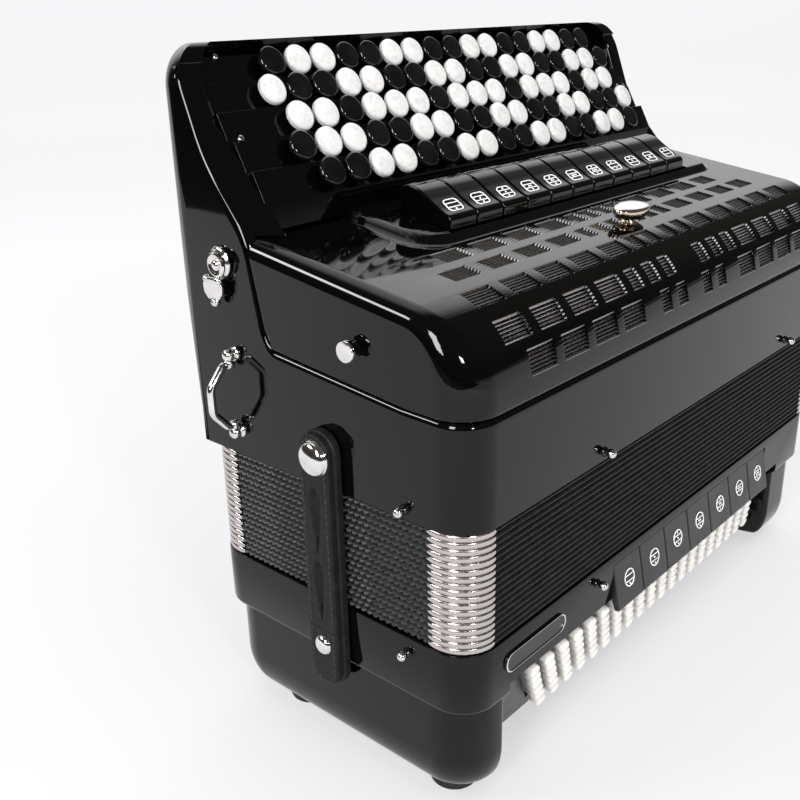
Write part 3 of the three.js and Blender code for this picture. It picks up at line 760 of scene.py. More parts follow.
class CoverMesh:
    """The cover as a closed skin: an outer and an inner sheet, joined round the rim and round each slot."""

    def __init__(self):
        self.solid = Solid()
        self.index = {}

    def point(self, x, s, depth=0.0, inner=False):
        """x is a place along the cover, or an ("end", side, t) place in its rounded end."""
        key = (x, round(s, 4), inner)
        if key in self.index:
            return self.index[key]
        (v, w), out = cover_section(s)
        radius = end_radius(s)
        skin = COVER_SKIN if inner else seam_ease(s)
        inset = depth + skin
        if isinstance(x, tuple):
            _, side, t = x
            angle = t * math.pi / 2
            place = side * (HALF - radius + (radius - skin) * math.sin(angle))
            inset = radius - (radius - skin) * math.cos(angle)
        else:
            place = x
        if not inner and s > FLAT_FOOT + ARC_LENGTH:
            inset -= plateau_rise(place + HALF, v)
        here = (place, FRONT + v - out[0] * inset, TOP + w - out[1] * inset)
        self.index[key] = len(self.solid.points)
        self.solid.points.append(here)
        return self.index[key]

    def face(self, *corners, look=0):
        self.solid.faces.append(corners)
        self.solid.looks.append(look)

    def band(self, stations, levels, depth=None, hole=None):
        """Quads between the stations along X and the levels along the section, with holes left out."""
        columns = list(zip(stations, stations[1:]))
        rows = list(zip(levels, levels[1:]))
        open_quads = {(i, j) for i, (a, b) in enumerate(columns) for j, (c, d) in enumerate(rows)
                      if hole and hole(a, b, c, d)}
        deep = depth or (lambda x, s: 0.0)
        for inner in (False, True):
            for i, (a, b) in enumerate(columns):
                for j, (c, d) in enumerate(rows):
                    if (i, j) not in open_quads:
                        corners = ((a, c), (b, c), (b, d), (a, d))
                        depths = [0.0 if inner else deep(x, s) for x, s in corners]
                        cut = abs(depths[0] - depths[3]) > 0.01 and abs(depths[0] - depths[1]) < 0.01
                        self.face(*(self.point(x, s, sunk, inner) for (x, s), sunk in zip(corners, depths)),
                                  look=int(cut))
        for i, j in open_quads:
            (a, b), (c, d) = columns[i], rows[j]
            for near, first, last in (((i - 1, j), (a, c), (a, d)), ((i + 1, j), (b, c), (b, d)),
                                      ((i, j - 1), (a, c), (b, c)), ((i, j + 1), (a, d), (b, d))):
                if near not in open_quads:
                    cut = first[0] != last[0] and deep(*first) > 0
                    self.face(self.point(*first), self.point(*last),
                              self.point(*last, inner=True), self.point(*first, inner=True), look=int(cut))

    def bridge(self, low, high, lower, upper):
        """Joins two bands, whose middles may have different stations, by one flat strip and its ends."""
        for inner in (False, True):
            shared = [x for x in low if isinstance(x, tuple)]
            half = len(shared) // 2
            for side in (shared[:half], shared[half:]):
                for a, b in zip(side, side[1:]):
                    self.face(self.point(a, lower, 0, inner), self.point(b, lower, 0, inner),
                              self.point(b, upper, 0, inner), self.point(a, upper, 0, inner))
            first, last = shared[half - 1], shared[half]
            below = [x for x in low if not isinstance(x, tuple)]
            above = [x for x in high if not isinstance(x, tuple)]
            ring = [self.point(x, lower, 0, inner) for x in (first, *below, last)]
            ring += [self.point(x, upper, 0, inner) for x in reversed((first, *above, last))]
            self.face(*ring)


def end_stations(side):
    steps = [("end", side, k / END_STEPS) for k in range(END_STEPS + 1)]
    return steps if side > 0 else steps[::-1]


def stations(middle):
    return [*end_stations(-1), *middle, *end_stations(1)]


def grille_cover():
    mesh = CoverMesh()
    plain = stations([-HALF + LENGTH / 2])
    bands = [(plain, [0, 0.12, 0.45, 0.9, SEAM_ROUND, 3, FLAT_FOOT, FLAT_FOOT + 2], None, None)]
    arc_levels = [along_arc(a) for a in (28, 29, 52.5, 55.5, 77.5, 78.5)]
    for row in CELL_ROWS:
        bands.append(cell_band(row))
    bands.append((plateau_stations(), plateau_levels(), None, well_hole))
    for lower, upper in zip(bands, bands[1:]):
        middle = [s for s in arc_levels + [FLAT_FOOT + ARC_LENGTH] if lower[1][-1] < s < upper[1][0]]
        levels = [lower[1][-1], *middle, upper[1][0]]
        spans = list(zip(levels, levels[1:]))
        for k, (c, d) in enumerate(spans):
            low = lower[0] if k == 0 else plain
            high = upper[0] if k == len(spans) - 1 else plain
            mesh.bridge(low, high, c, d)
    for band in bands:
        mesh.band(*band)
    close_ends(mesh, [s for band in bands for s in band[1]] + arc_levels + [FLAT_FOOT + ARC_LENGTH])
    made = mesh_object("grille_lid", mesh.solid, [LACQUER, CUT_METAL], 32)
    bevel(made, SEAM_ROUND, lambda middle: 1 if seam_at_end(middle) else 0, 4)
    attach(made, "treble", "lacquer", "grille_cover")


def seam_at_end(middle):
    return abs(middle.x) > HALF - 0.5 and middle.z - TOP < CHEEK_FOOT[1] - 1 and middle.y > FRONT + CORNER


def cell_band(row):
    start = row[0] - CELL_HEIGHT / 2
    end = row[0] + CELL_HEIGHT / 2
    cells = [(u0 - HALF, u1 - HALF) for u0, u1 in cells_of(row)]
    marks = sorted({round(x, 4) for a, b in cells for x in (a, a + CELL_RIM, b - CELL_RIM, b)})
    pitch = (CELL_HEIGHT - 2 * CELL_RIM) / SLOTS
    edge = SLOT_EDGE / pitch
    bars = [start + CELL_RIM + pitch * (k + share) for k in range(SLOTS)
            for share in (0.24 - edge, 0.24, 0.76, 0.76 + edge)]
    levels = [start, start + CELL_RIM, *bars, end - CELL_RIM, end]

    def inside(x):
        return not isinstance(x, tuple) and any(a + CELL_RIM - 0.01 < x < b - CELL_RIM + 0.01
                                                for a, b in cells)

    def depth(x, s):
        if not (inside(x) and start + CELL_RIM - 0.01 < s < end - CELL_RIM + 0.01):
            return 0.0
        return CELL_DEPTH + (SLOT_EDGE if s in bars and bars.index(s) % 4 in (1, 2) else 0)

    def hole(a, b, c, d):
        if not (inside(a) and inside(b) and c in bars and d in bars):
            return False
        return bars.index(c) % 4 == 1 and any(p < (a + b) / 2 < q for p, q in cells)
    return stations(marks), levels, depth, hole


def plateau_stations():
    u0, u1, _, _ = PLATEAU
    near = [u0 - 4 + 2 * k for k in range(22)]
    far = [u1 + 4 - 2 * k for k in range(22)][::-1]
    middle = [near[-1] + (far[0] - near[-1]) * k / 12 for k in range(1, 12)]
    marks = sorted({*near, *middle, *far, WELL[0], WELL[1]})
    return stations([round(u - HALF, 4) for u in marks])


def plateau_levels():
    _, _, v0, _ = PLATEAU
    values = [v0 - 0.5 + 0.75 * k for k in range(14)] + [86 + 4 * k for k in range(9)]
    values += [WELL[2], WELL[3], CHEEK_FOOT[0] - 5, CHEEK_FOOT[0] - 0.6]
    return [along_top(v) for v in sorted({round(v, 3) for v in values})]


def well_hole(a, b, c, d):
    if isinstance(a, tuple) or isinstance(b, tuple):
        return False
    middle = (a + b) / 2 + HALF
    level = (c + d) / 2
    return WELL[0] < middle < WELL[1] and along_top(WELL[2]) < level < along_top(WELL[3])


def close_ends(mesh, levels):
    """The flat end caps, down to the seam line, and the rim that joins the outer and inner sheets."""
    levels = sorted({round(s, 4): s for s in levels}.values())
    seam = [(CHEEK_ROOT[0] - 0.6, CHEEK_ROOT[1]), (SEAM_BACK[0] - 0.4, SEAM_BACK[1] + GAP),
            (SEAM_KNEE[0], SEAM_KNEE[1] + GAP)]
    loops = []
    for side in (-1, 1):
        rims = []
        for inner in (False, True):
            x = side * (HALF - (COVER_SKIN if inner else 0))
            low = []
            for v, w in seam:
                low.append(len(mesh.solid.points))
                mesh.solid.points.append((x, FRONT + v, TOP + w))
            tip = ("end", side, 1.0)
            mesh.face(*[mesh.point(tip, s, 0, inner) for s in levels], *low)
            rims.append([mesh.point(tip, levels[-1], 0, inner), *low, mesh.point(tip, 0, 0, inner)])
        loops.append(rims)
    for outer, inner in loops:
        for (a, b), (c, d) in zip(zip(outer, outer[1:]), zip(inner, inner[1:])):
            mesh.face(a, b, d, c)
    front = stations([-HALF + LENGTH / 2])
    for s, line in ((0, front), (levels[-1], plateau_stations())):
        for a, b in zip(line, line[1:]):
            mesh.face(mesh.point(a, s), mesh.point(b, s),
                      mesh.point(b, s, inner=True), mesh.point(a, s, inner=True))


def grille_cloth():
    """Cloth stretched behind the cover's slots."""
    inset = COVER_SKIN + CLOTH_GAP
    u0, u1 = CLOTH_END, LENGTH - CLOTH_END
    low = FLAT_FOOT + 2
    levels = [low + k * (along_top(CLOTH_BACK) - low) / 40 for k in range(41)]
    line = []
    for s in levels:
        (v, w), out = cover_section(s)
        line.append((v - out[0] * inset, w - out[1] * inset))
    solid = Solid()
    rings = [[spot(u0 + (u1 - u0) * k / 12, v, w) for k in range(13)] for v, w in line]
    solid.loft(rings, closed=False, caps=False)
    made = piece("grille_cloth", solid, [CLOTH], "treble", "satin_black")
    length = sum(math.dist(a, b) for a, b in zip(line, line[1:]))


# ---- treble registers ------------------------------------------------------------------------------
REGISTER_MARKS = (                            # dots in the upper, middle and lower third of each sign
    (0, 0, 1), (0, 1, 1), (1, 1, 1), (0, 2, 1), (1, 2, 1), (0, 3, 0), (1, 3, 1), (1, 0, 1), (1, 1, 0),
    (0, 2, 0), (1, 0, 0))


def flat_ring(solid, outline, centre, across, up, width, out, look):
    """A raised band of that width inside an outline."""
    def ring(shrink, lift):
        size = max(max(abs(a) for a, _ in outline), 0.01)
        return [centre + across * a * (size - shrink) / size + up * b * (size - shrink) / size + out * lift
                for a, b in outline]
    rings = [ring(0, -0.2), ring(0, 0.12), ring(width, 0.12), ring(width, -0.2), ring(0, -0.2)]
    solid.loft(rings, look, caps=False)


def sign(solid, centre, across, up, out, size, dots, look, outline):
    """A plain register sign: a ring, two bars across it and dots in its thirds."""
    flat_ring(solid, outline, centre, across, up, 0.62, out, look)
    width, height = size
    for level in (-1, 1):
        middle = centre + up * level * height / 6
        bar = rectangle(width * 0.86, 0.5, 0.2, 2)
        solid.prism(bar, middle - out * 0.2, across, up, out * 0.32, look)
    for level, count in enumerate(dots):
        for k in range(count):
            shift = (k - (count - 1) / 2) * 1.9
            middle = centre + up * (1 - level) * height / 3 + across * shift
            solid.lathe([(0, -0.2), (0.6, -0.2), (0.6, 0.12), (0, 0.12)], middle, out, 10, look)


def treble_registers():
    outline = rounded([
        (82, 112.5, 1), (82, 119.6, 4), (88, 122, 30), (96, 127, 60), (104, 132.5, 26), (112, 133.8, 12),
        (116, 131, 3), (116, 118, 2), (105, 115.5, 4)], 6)
    width = REGISTER_PITCH - 1.3
    low, high = Vector((84.2, 120.1)), Vector((94.6, 127.2))
    up = Vector((0, *(high - low))).normalized()
    out = X_AXIS.cross(up)
    for i in range(REGISTERS):
        u = REGISTER_U0 + (i + 0.5) * REGISTER_PITCH
        body = Solid()
        side_prism(body, outline, u - HALF - width / 2, u - HALF + width / 2)
        tab = mesh_object(f"treble_tab_{i + 1}", body, [LACQUER, MARK_WHITE])
        bevel(tab, 1.6, None, 5, 50)
        marks = Solid()
        middle = spot(u, *((low + high) / 2)) + out * 0.1
        height = 8.6
        sign(marks, middle, X_AXIS, up, out, (11.5, height), REGISTER_MARKS[i], 1,
             rectangle(11.5, height, 2.6, 5))
        merge(tab, marks)
        attach(tab, f"treble_switch_{i + 1}", "register_black", f"treble_register_{i + 1}")


def merge(made, solid):
    """Adds a solid's faces to a piece that is already made."""
    extra = mesh_object("extra", solid, list(made.data.materials))
    shape = edit(made.data)
    shape.from_mesh(extra.data)
    close(shape, made.data)
    bpy.data.objects.remove(extra)
    shade(made.data)


# ---- keyboard --------------------------------------------------------------------------------------
BUTTON_PITCH = 18.7
BUTTON_R = 8.2
BUTTON_CAP = 4.5
BUTTON_STAND = 8
CAP_RIM = 2.2
CAP_DOME = 0.5
SCREWS = ((35, 0, -7), (23.5, 2, 6))          # u, row and place down the row's tread
ROW_COUNT = (17, 18, 17, 18, 17)
ROW_START = (66, 55, 62.4, 52.1, 61)
ROW_FIRST_NOTE = (1, 0, 2, 1, 3)              # semitones above C; the notes rise by three along a row
BLACK_NOTES = (1, 3, 6, 8, 10)
TREAD = 17.1
RISER = 4
BOARD_TILT = math.radians(28.6)
OUT_OF_BOARD = Vector((0, -math.cos(BOARD_TILT), math.sin(BOARD_TILT)))
DOWN_BOARD = Vector((0, -math.sin(BOARD_TILT), -math.cos(BOARD_TILT)))


def tread_centre(row, u):
    first = spot(u, 180.9, 195.3)
    return first + DOWN_BOARD * row * TREAD + OUT_OF_BOARD * (row * RISER - BUTTON_STAND)


def tread_edge(w):
    """The v, at a level, of the line through the treads' front edges."""
    edges = [tread_centre(row, 0) + DOWN_BOARD * TREAD / 2 for row in (0, 4)]
    (v0, w0), (v1, w1) = ((edge.y - FRONT, edge.z - TOP) for edge in edges)
    return v0 + (v1 - v0) * (w - w0) / (w1 - w0)


def cap_profile():
    """Half section of a cap from its stem up: a straight side, a rounded rim and a slightly domed face."""
    base = BUTTON_STAND - BUTTON_CAP
    top = BUTTON_STAND - CAP_DOME
    rim = [(BUTTON_R - CAP_RIM * (1 - math.cos(a)), top - CAP_RIM * 0.8 * (1 - math.sin(a)))
           for a in quarter(7)]
    face = [((BUTTON_R - CAP_RIM) * k / 4, BUTTON_STAND - CAP_DOME * (k / 4) ** 2) for k in (3, 2, 1, 0)]
    return [(0, -3), (2.4, -3), (2.4, base), (BUTTON_R - 1, base), (BUTTON_R, base + 0.8), *rim, *face]


def treble_buttons():
    profile = cap_profile()
    for row, count in enumerate(ROW_COUNT):
        solid = Solid()
        for i in range(count):
            note = (ROW_FIRST_NOTE[row] + 3 * i) % 12
            centre = tread_centre(row, ROW_START[row] + i * BUTTON_PITCH)
            solid.lathe(profile, centre, OUT_OF_BOARD, 40, int(note in BLACK_NOTES))
        piece(f"treble_caps_{row + 1}", solid, [PEARL, BLACK_CAP], f"treble_row_{row + 1}",
              "treble_buttons", f"treble_button_row_{row + 1}", sharp=40)


def screw(solid, centre, axis, radius):
    """A round-headed screw."""
    solid.lathe([(0, -0.6), (radius, -0.6), *dome(radius, radius * 0.55, 5)], centre, axis, 20)


def ease(node, width):
    """Rounds a CAD node's edges without moving it."""
    weld = node.modifiers.new("weld", "WELD")
    weld.merge_threshold = 1e-6
    modifier = node.modifiers.new("bevel", "BEVEL")
    modifier.width = width * MM
    modifier.segments = 3
    modifier.harden_normals = True


def keyboard():
    dress("keyboard_board", LACQUER, 0.3)
    solid = Solid()
    for u, row, along in SCREWS:
        for place in (u, LENGTH - u):
            centre = tread_centre(row, place) + DOWN_BOARD * along + OUT_OF_BOARD * 0.6
            screw(solid, centre, OUT_OF_BOARD, 1.9)
    piece("keyboard_screws", solid, [NICKEL], "treble", "nickel", sharp=50)


# ---- medallion -------------------------------------------------------------------------------------
def medallion():
    v = 44
    out = Vector((0, -math.sin(SLOPE_ANGLE), math.cos(SLOPE_ANGLE)))
    back = X_AXIS.cross(out) * -1
    centre = spot(HALF, v, cover_top(v) + 8)
    solid = Solid()
    profile = [(0.02, -5), (0.72, -5), (0.84, -4.4), (0.93, -3), (0.98, -1.4), (1, 0),
               (0.97, 0.8), (0.9, 1.35), (0.8, 1.7), (0.55, 1.95), (0.28, 2.0), (0.02, 2.0)]
    rings = []
    for size, height in profile:
        rings.append([centre + out * height + size * (15 * math.cos(a) * X_AXIS + 8.5 * math.sin(a) * back)
                      for a in circle(48)])
    solid.loft(rings[:7], 1, caps=False)
    solid.loft(rings[6:], 0, caps=False)
    solid.lathe([(0, -8.6), (6.6, -8.6), (6.2, -8), (5, -6.6), (4.8, -4.4), (0, -4.4)], centre, out, 28, 1)
    piece("medallion_oval", solid, [NICKEL, GILT], "treble", "nickel", "medallion", sharp=45)


# ---- bellows ---------------------------------------------------------------------------------------
FOLDS = 18
FOLD_PITCH = (TOP - BELLOWS_BOTTOM) / FOLDS
FOLD_DEPTH = 7
CORNER_FRONT_REACH = 20.7
CORNER_END_REACH = 25.2
LUMP = 4.1                                    # pitch of the tape's woven lumps


def perimeter(step_end, step_front):
    """Points round the bellows' outside with their outward normals and their kind of side."""
    inset = 0.8
    radius = CORNER - inset
    x = HALF - inset - radius
    y = DEPTH / 2 - inset - radius
    points = []
    corners = ((x, y, 0), (-x, y, 90), (-x, -y, 180), (x, -y, 270))
    for k, (cx, cy, start) in enumerate(corners):
        for i in range(9):
            angle = math.radians(start + 90 * i / 8)
            out = Vector((math.cos(angle), math.sin(angle), 0))
            points.append((Vector((cx, cy, 0)) + out * radius, out, "corner"))
        nx, ny, _ = corners[(k + 1) % 4]
        out = Vector((math.cos(math.radians(start + 90)), math.sin(math.radians(start + 90)), 0))
        first = Vector((cx, cy, 0)) + out * radius
        last = Vector((nx, ny, 0)) + out * radius
        kind = "end" if abs(out.x) > 0.5 else "front"
        count = round((last - first).length / (step_end if kind == "end" else step_front))
        points += [(first.lerp(last, i / count), out, kind) for i in range(1, count)]
    middle = Vector((0, FRONT + DEPTH / 2, 0))
    return [(point + middle, out, kind) for point, out, kind in points]


def bellows():
    around = perimeter(LUMP / 4, 8)
    section = ((0, 1), (0.14, 0.55), (0.26, 0.12), (0.4, 0), (0.6, 0), (0.74, 0.12), (0.86, 0.55))
    rings = []
    for fold in range(FOLDS):
        for share, back in section:
            z = BELLOWS_BOTTOM + (fold + share) * FOLD_PITCH
            ring = []
            for point, out, kind in around:
                inward = back * FOLD_DEPTH
                lift = 0
                if kind == "end" and back < 0.5:
                    phase = point.y / LUMP + 0.5 * fold
                    wave = math.cos(2 * math.pi * phase)
                    inward += 0.7 * (1 - wave)
                    lift = 0.45 * math.sin(2 * math.pi * phase)
                ring.append(point - out * inward + Z_AXIS * (z + lift))
            rings.append(ring)
    rings.append([point - out * FOLD_DEPTH + Z_AXIS * TOP for point, out, _ in around])
    inside = [[point - out * (FOLD_DEPTH + 2) + Z_AXIS * z for point, out, _ in around]
              for z in (TOP, BELLOWS_BOTTOM)]
    solid = Solid()
    solid.loft([*rings, *inside, rings[0]], caps=False)
    made = mesh_object("bellows_folds", solid, [CARD, TAPE], 50)
    for face in made.data.polygons:
        if abs(face.center.x) > (HALF - CORNER) * MM:
            face.material_index = 1
    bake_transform(made)
    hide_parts("bellows")


def corner_path():
    """From the end face round the corner to the front face, as (u, v) with outward normals."""
    inset = 0.8
    radius = CORNER - inset
    path = []
    for k in range(3):
        v = CORNER_END_REACH + (CORNER - CORNER_END_REACH) * k / 3
        path.append((Vector((inset, v)), Vector((-1, 0))))
    for k in range(13):
        angle = math.radians(180 + 90 * k / 12)
        out = Vector((math.cos(angle), math.sin(angle)))
        path.append((Vector((CORNER, CORNER)) + out * radius, out))
    path.append((Vector((CORNER_FRONT_REACH, inset)), Vector((0, -1))))
    return path


def bellows_corners():
    """Metal caps on every fold's corners, made as one piece for each fold."""
    path = corner_path()
    last = len(path) - 1
    mirrors = [(side, front) for side in (-1, 1) for front in (True, False)]
    for fold in range(FOLDS):
        z = BELLOWS_BOTTOM + (fold + 0.5) * FOLD_PITCH
        solid = Solid()
        for side, front in mirrors:
            rings = []
            for k, (place, out) in enumerate(path):
                tip = min(k, last - k)
                swell = (0.45, 0.8, 1)[min(tip, 2)]
                ring = []
                for a in range(9):
                    angle = math.pi * (a / 8 - 0.5)
                    height = math.sin(angle) * (FOLD_PITCH / 2 - 0.12) * swell
                    proud = 0.7 * math.cos(angle) * swell - 0.35
                    u, v = place + out * proud
                    ring.append(corner_spot(u, v, z + height, side, front))
                for a in (1, -1):
                    u, v = place - out * 2.6
                    ring.append(corner_spot(u, v, z + a * 0.5, side, front))
                rings.append(ring)
            solid.loft(rings)
        made = mesh_object(f"bellows_corners_{fold + 1:02d}", solid, [WARM_NICKEL], 50)
        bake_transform(made)


def corner_spot(u, v, z, side, front):
    x = side * (HALF - u)
    y = FRONT + v if front else FRONT + DEPTH - v
    return Vector((x, y, z))


# ---- bass case -------------------------------------------------------------------------------------
NOTCH = (33, 356)
NOTCH_TOP = TOP - 91
PLATE_LEAN = 0.31
PLATE_V = 9
PLATE_THICK = 3
COVER_INSET = 3
COVER_ROUND = 22
COVER_ROUND_IN = 10
BASS_REGISTERS = 7
BASS_REGISTER_PITCH = 28.8
BASS_REGISTER_U0 = 129.4
BASS_REGISTER_TOP = -70


def plate_v(z):
    return PLATE_V + (NOTCH_TOP - z) * PLATE_LEAN


def box_tool(u0, u1, v0, v1, z0, z1):
    return tool_from(lambda solid: solid.loft([
        [(u - HALF, FRONT + v, z) for u, v in ((u0, v0), (u1, v0), (u1, v1), (u0, v1))] for z in (z0, z1)]))


def bass_case():
    top = BELLOWS_BOTTOM - GAP
    rings = [(WALL, BASS_SEAM), (3, BASS_SEAM), (1.7, BASS_SEAM + 0.3), (0.9, BASS_SEAM + 0.9),
             (0.3, BASS_SEAM + 1.8), (0, BASS_SEAM + 3), (0, top - 0.9),
             (0.25, top - 0.25), (0.9, top), (WALL, top)]
    solid = Solid()
    solid.loft([upright_ring(inset, z, radius=max(CORNER - inset, 14), steps=12)
                for inset, z in [*rings, rings[0]]], caps=False)
    case = mesh_object("bass_shell", solid, [LACQUER])
    carve(case, box_tool(*NOTCH, -9, WALL + 9, 0, NOTCH_TOP))
    end = BASS_REGISTER_U0 + BASS_REGISTERS * BASS_REGISTER_PITCH
    switch_top = TOP + BASS_REGISTER_TOP + 2 * GAP
    carve(case, box_tool(BASS_REGISTER_U0 - GAP, end + GAP, -9, WALL + 3, 0, switch_top))
    shade(case.data)
    attach(case, "bass", "lacquer", "bass_case")


def cover_rings(skin):
    """Level rings of the bottom cover from its seam down round its edge, a skin's thickness inside."""
    top = BASS_SEAM - GAP
    rings = []
    for k in range(13):
        angle = math.pi / 2 * k / 12
        z = FOOT_TOP + COVER_ROUND * (1 - math.sin(angle))
        inset = COVER_INSET + COVER_ROUND_IN * (1 - math.cos(angle))
        rings.append((inset, z))
    rings = [(COVER_INSET + 0.8, top), (COVER_INSET + 0.2, top - 0.3), (COVER_INSET, top - 1), *rings]
    made = []
    for inset, z in rings:
        radius = max(24 - (inset - COVER_INSET) * 0.55 - skin, 6)
        made.append(upright_ring(inset + skin, max(z, FOOT_TOP + skin), radius=radius, steps=12))
    return made


def bass_cover():
    skin = 4
    cover = tool_from(lambda solid: solid.loft(cover_rings(0)))
    hollow = tool_from(lambda solid: solid.loft(
        [[(x, y, z + skin) for x, y, z in cover_rings(skin)[0]], *cover_rings(skin)]))
    cheek = 3
    for u in (NOTCH[0] - cheek, NOTCH[1]):
        carve(hollow, box_tool(u, u + cheek, -1, 34, 0, BASS_SEAM + 9))
    carve(cover, hollow)
    reach = 60
    recess = [(plate_v(z) + side, z - TOP) for z, side in (
        (0, -reach), (0, PLATE_THICK + GAP), (NOTCH_TOP + 8, PLATE_THICK + GAP), (NOTCH_TOP + 8, -reach))]
    carve(cover, tool_from(lambda solid: side_prism(solid, recess, NOTCH[0] - HALF, NOTCH[1] - HALF)))
    behind = PLATE_THICK + 13
    foot = FOOT_TOP + 2.5
    pocket = [(plate_v(z) + side, z - TOP)
              for z, side in ((foot, 0), (foot, behind), (NOTCH_TOP, behind), (NOTCH_TOP, 0))]
    carve(cover, tool_from(lambda solid: side_prism(
        solid, pocket, NOTCH[0] + 20 - HALF, NOTCH[1] - 5 - HALF)))
    air = tool_from(lambda solid: solid.lathe(
        [(0, -9), (AIR_STEM + 0.5, -9), (AIR_STEM + 0.5, 20), (0, 20)], air_centre(), Z_AXIS, 24))
    carve(cover, air)

    def share(middle):
        near_edge = min(abs(middle.x + HALF - u) for u in NOTCH) < 0.4
        return 1 if near_edge and middle.y < FRONT + 18 else 0
    tidy_faces(cover)
    bevel(cover, 3, share, 5)
    cover.name = "bass_lid"
    cover.data.materials.append(LACQUER)
    attach(cover, "bass", "lacquer", "bass_bottom_cover")


# ---- bass buttons, plate and registers -------------------------------------------------------------
BASS_ROWS = 6
BASS_COLUMNS = 20
BASS_PITCH = 13.9
BASS_ROW_DU = 5
BASS_ROW_DZ = 7.8
BASS_U0 = 60
BASS_Z0 = TOP - 99.5
OUT_OF_PLATE = Vector((0, -1, -PLATE_LEAN)).normalized()


def bass_spot(row, column):
    z = BASS_Z0 - row * BASS_ROW_DZ
    return Vector((BASS_U0 - HALF + column * BASS_PITCH + row * BASS_ROW_DU, FRONT + plate_v(z), z))


def bass_buttons():
    profile = [(0, -5.4), (1.7, -5.4), (1.9, 2.6), (3.5, 3), (3.9, 3.7), (3.9, 7.4), (3.6, 8.6), (2.7, 9.3),
               (1.1, 9.5), (0, 9.5)]
    for row in range(BASS_ROWS):
        solid = Solid()
        for column in range(BASS_COLUMNS):
            solid.lathe(profile, bass_spot(row, column), OUT_OF_PLATE, 20)
        piece(f"bass_caps_{row + 1}", solid, [BASS_WHITE], f"bass_row_{row + 1}", "pearl",
              f"bass_button_row_{row + 1}", sharp=45)
    dress("bass_button_plate", SATIN, 0.4)


def bass_registers():
    top, height, proud = BASS_REGISTER_TOP, 28, 5
    outline = rounded([
        (0.5, top, 0.8), (-proud, top - height, 1.2), (-proud + 3.5, top - height - 0.6, 1.2),
        (5.5, top - height * 0.25, 2), (5.5, top, 0.8)], 4)
    up = Vector((0, 0.5 + proud, height)).normalized()
    out = X_AXIS.cross(up)
    width = BASS_REGISTER_PITCH - 0.8
    for i in range(BASS_REGISTERS):
        u = BASS_REGISTER_U0 + (i + 0.5) * BASS_REGISTER_PITCH
        body = Solid()
        side_prism(body, outline, u - HALF - width / 2, u - HALF + width / 2)
        tab = mesh_object(f"bass_tab_{i + 1}", body, [SATIN, MARK_WHITE])
        bevel(tab, 0.9, None, 3, 40)
        marks = Solid()
        middle = spot(u, -proud * 0.47, top - height * 0.46) + out * 0.05
        round_sign = rectangle(10.5, 10.5, 5.24, 8)
        sign(marks, middle, X_AXIS, up, out, (10.5, 10.5), REGISTER_MARKS[i], 1, round_sign)
        merge(tab, marks)
        attach(tab, f"bass_switch_{i + 1}", "bass_register_black", f"bass_register_{i + 1}")


# ---- feet, hand strap, wheel and air button --------------------------------------------------------
AIR_STEM = 2.5
STITCH = 2.6
STITCH_STEP = 4


def air_centre():
    low, high = box_of("air_button")
    return Vector(((low.x + high.x) / 2, (low.y + high.y) / 2, low.z))


def air_button():
    length = box_of("air_button")[1].z - air_centre().z
    profile = [(0, 0), (5.6, 0), (6.6, 0.4), (7, 1.2), (7, 2.2), (6.5, 2.9), (AIR_STEM, 3),
               (AIR_STEM, length), (0, length)]
    solid = Solid()
    solid.lathe(profile, air_centre(), Z_AXIS, 32)
    piece("air_knob", solid, [PEARL], "air_valve", "pearl", "air_button", sharp=40)


def feet():
    for name in ("foot_front_near", "foot_back_near", "foot_front_far", "foot_back_far"):
        low, high = box_of(name)
        centre = (low + high) / 2
        centre.z = 0
        top = high.z
        profile = [(0, 0.6), (8, 0.6), (8.6, 0), (11.2, 0), (12.4, 0.6), (13, 2.2), (13, top - 0.5),
                   (12.5, top), (0, top)]
        solid = Solid()
        solid.lathe(profile, centre, Z_AXIS, 36)
        foot = mesh_object(name + "_rubber", solid, [RUBBER], 45)
        attach(foot, "bass", "rubber", name)


def hand_strap():
    """The left hand's leather strap: level at its ends, bowed down in the middle, with a stitched edge."""
    low, high = box_of("bass_strap")
    width = high.y - low.y
    middle = (high.y + low.y) / 2
    thick = 2.8
    sag = high.z - low.z - thick

    def drop(x):
        return sag * (1 - smooth((abs(x) - 134) / 26))
    solid = Solid()
    places = [low.x + 6 + (high.x - low.x - 12) * k / 60 for k in range(61)]
    strap_band(solid, [(x, high.z - thick / 2 - drop(x)) for x in places], middle, width, thick)
    for side in (-1, 1):
        angles = [math.pi * k / 14 for k in range(15)]
        root = high.x - 8
        fold = [(side * (root + 17 * math.sin(a)), 4.0 + 2.4 * math.cos(a)) for a in angles]
        tail = [(side * (root - 2 * k), 1.6) for k in range(1, 10)]
        strap_band(solid, [*fold, *tail], middle, width - 6, 1.9)
        edge = middle + side * (width / 2 - 4)
        for x in (low.x + 10 + k * STITCH_STEP for k in range(85)):
            if x + STITCH < high.x - 9:
                places = [x + i * STITCH / 2 for i in range(3)]
                stitch(solid, [(place, edge, high.z - thick - drop(place)) for place in places], 1)
    piece("hand_strap", solid, [LEATHER, THREAD], "bass", "leather", "bass_strap", sharp=50)


def strap_band(solid, path, middle, width, thick):
    """A leather band across Y that follows (x, z) points."""
    rings = []
    for k, (x, z) in enumerate(path):
        ahead = Vector(path[min(k + 1, len(path) - 1)])
        along = (ahead - Vector(path[max(k - 1, 0)])).normalized()
        rings.append([(x - along.y * b, middle + a, z + along.x * b)
                      for a, b in rectangle(width, thick, min(1.1, thick * 0.4), 4)])
    solid.loft(rings)


def stitch(solid, path, look):
    solid.sweep(path, 0.4, 6, look, lambda t: 0.45 + 0.55 * math.sin(math.pi * clamp(t, 0.02, 0.98)))


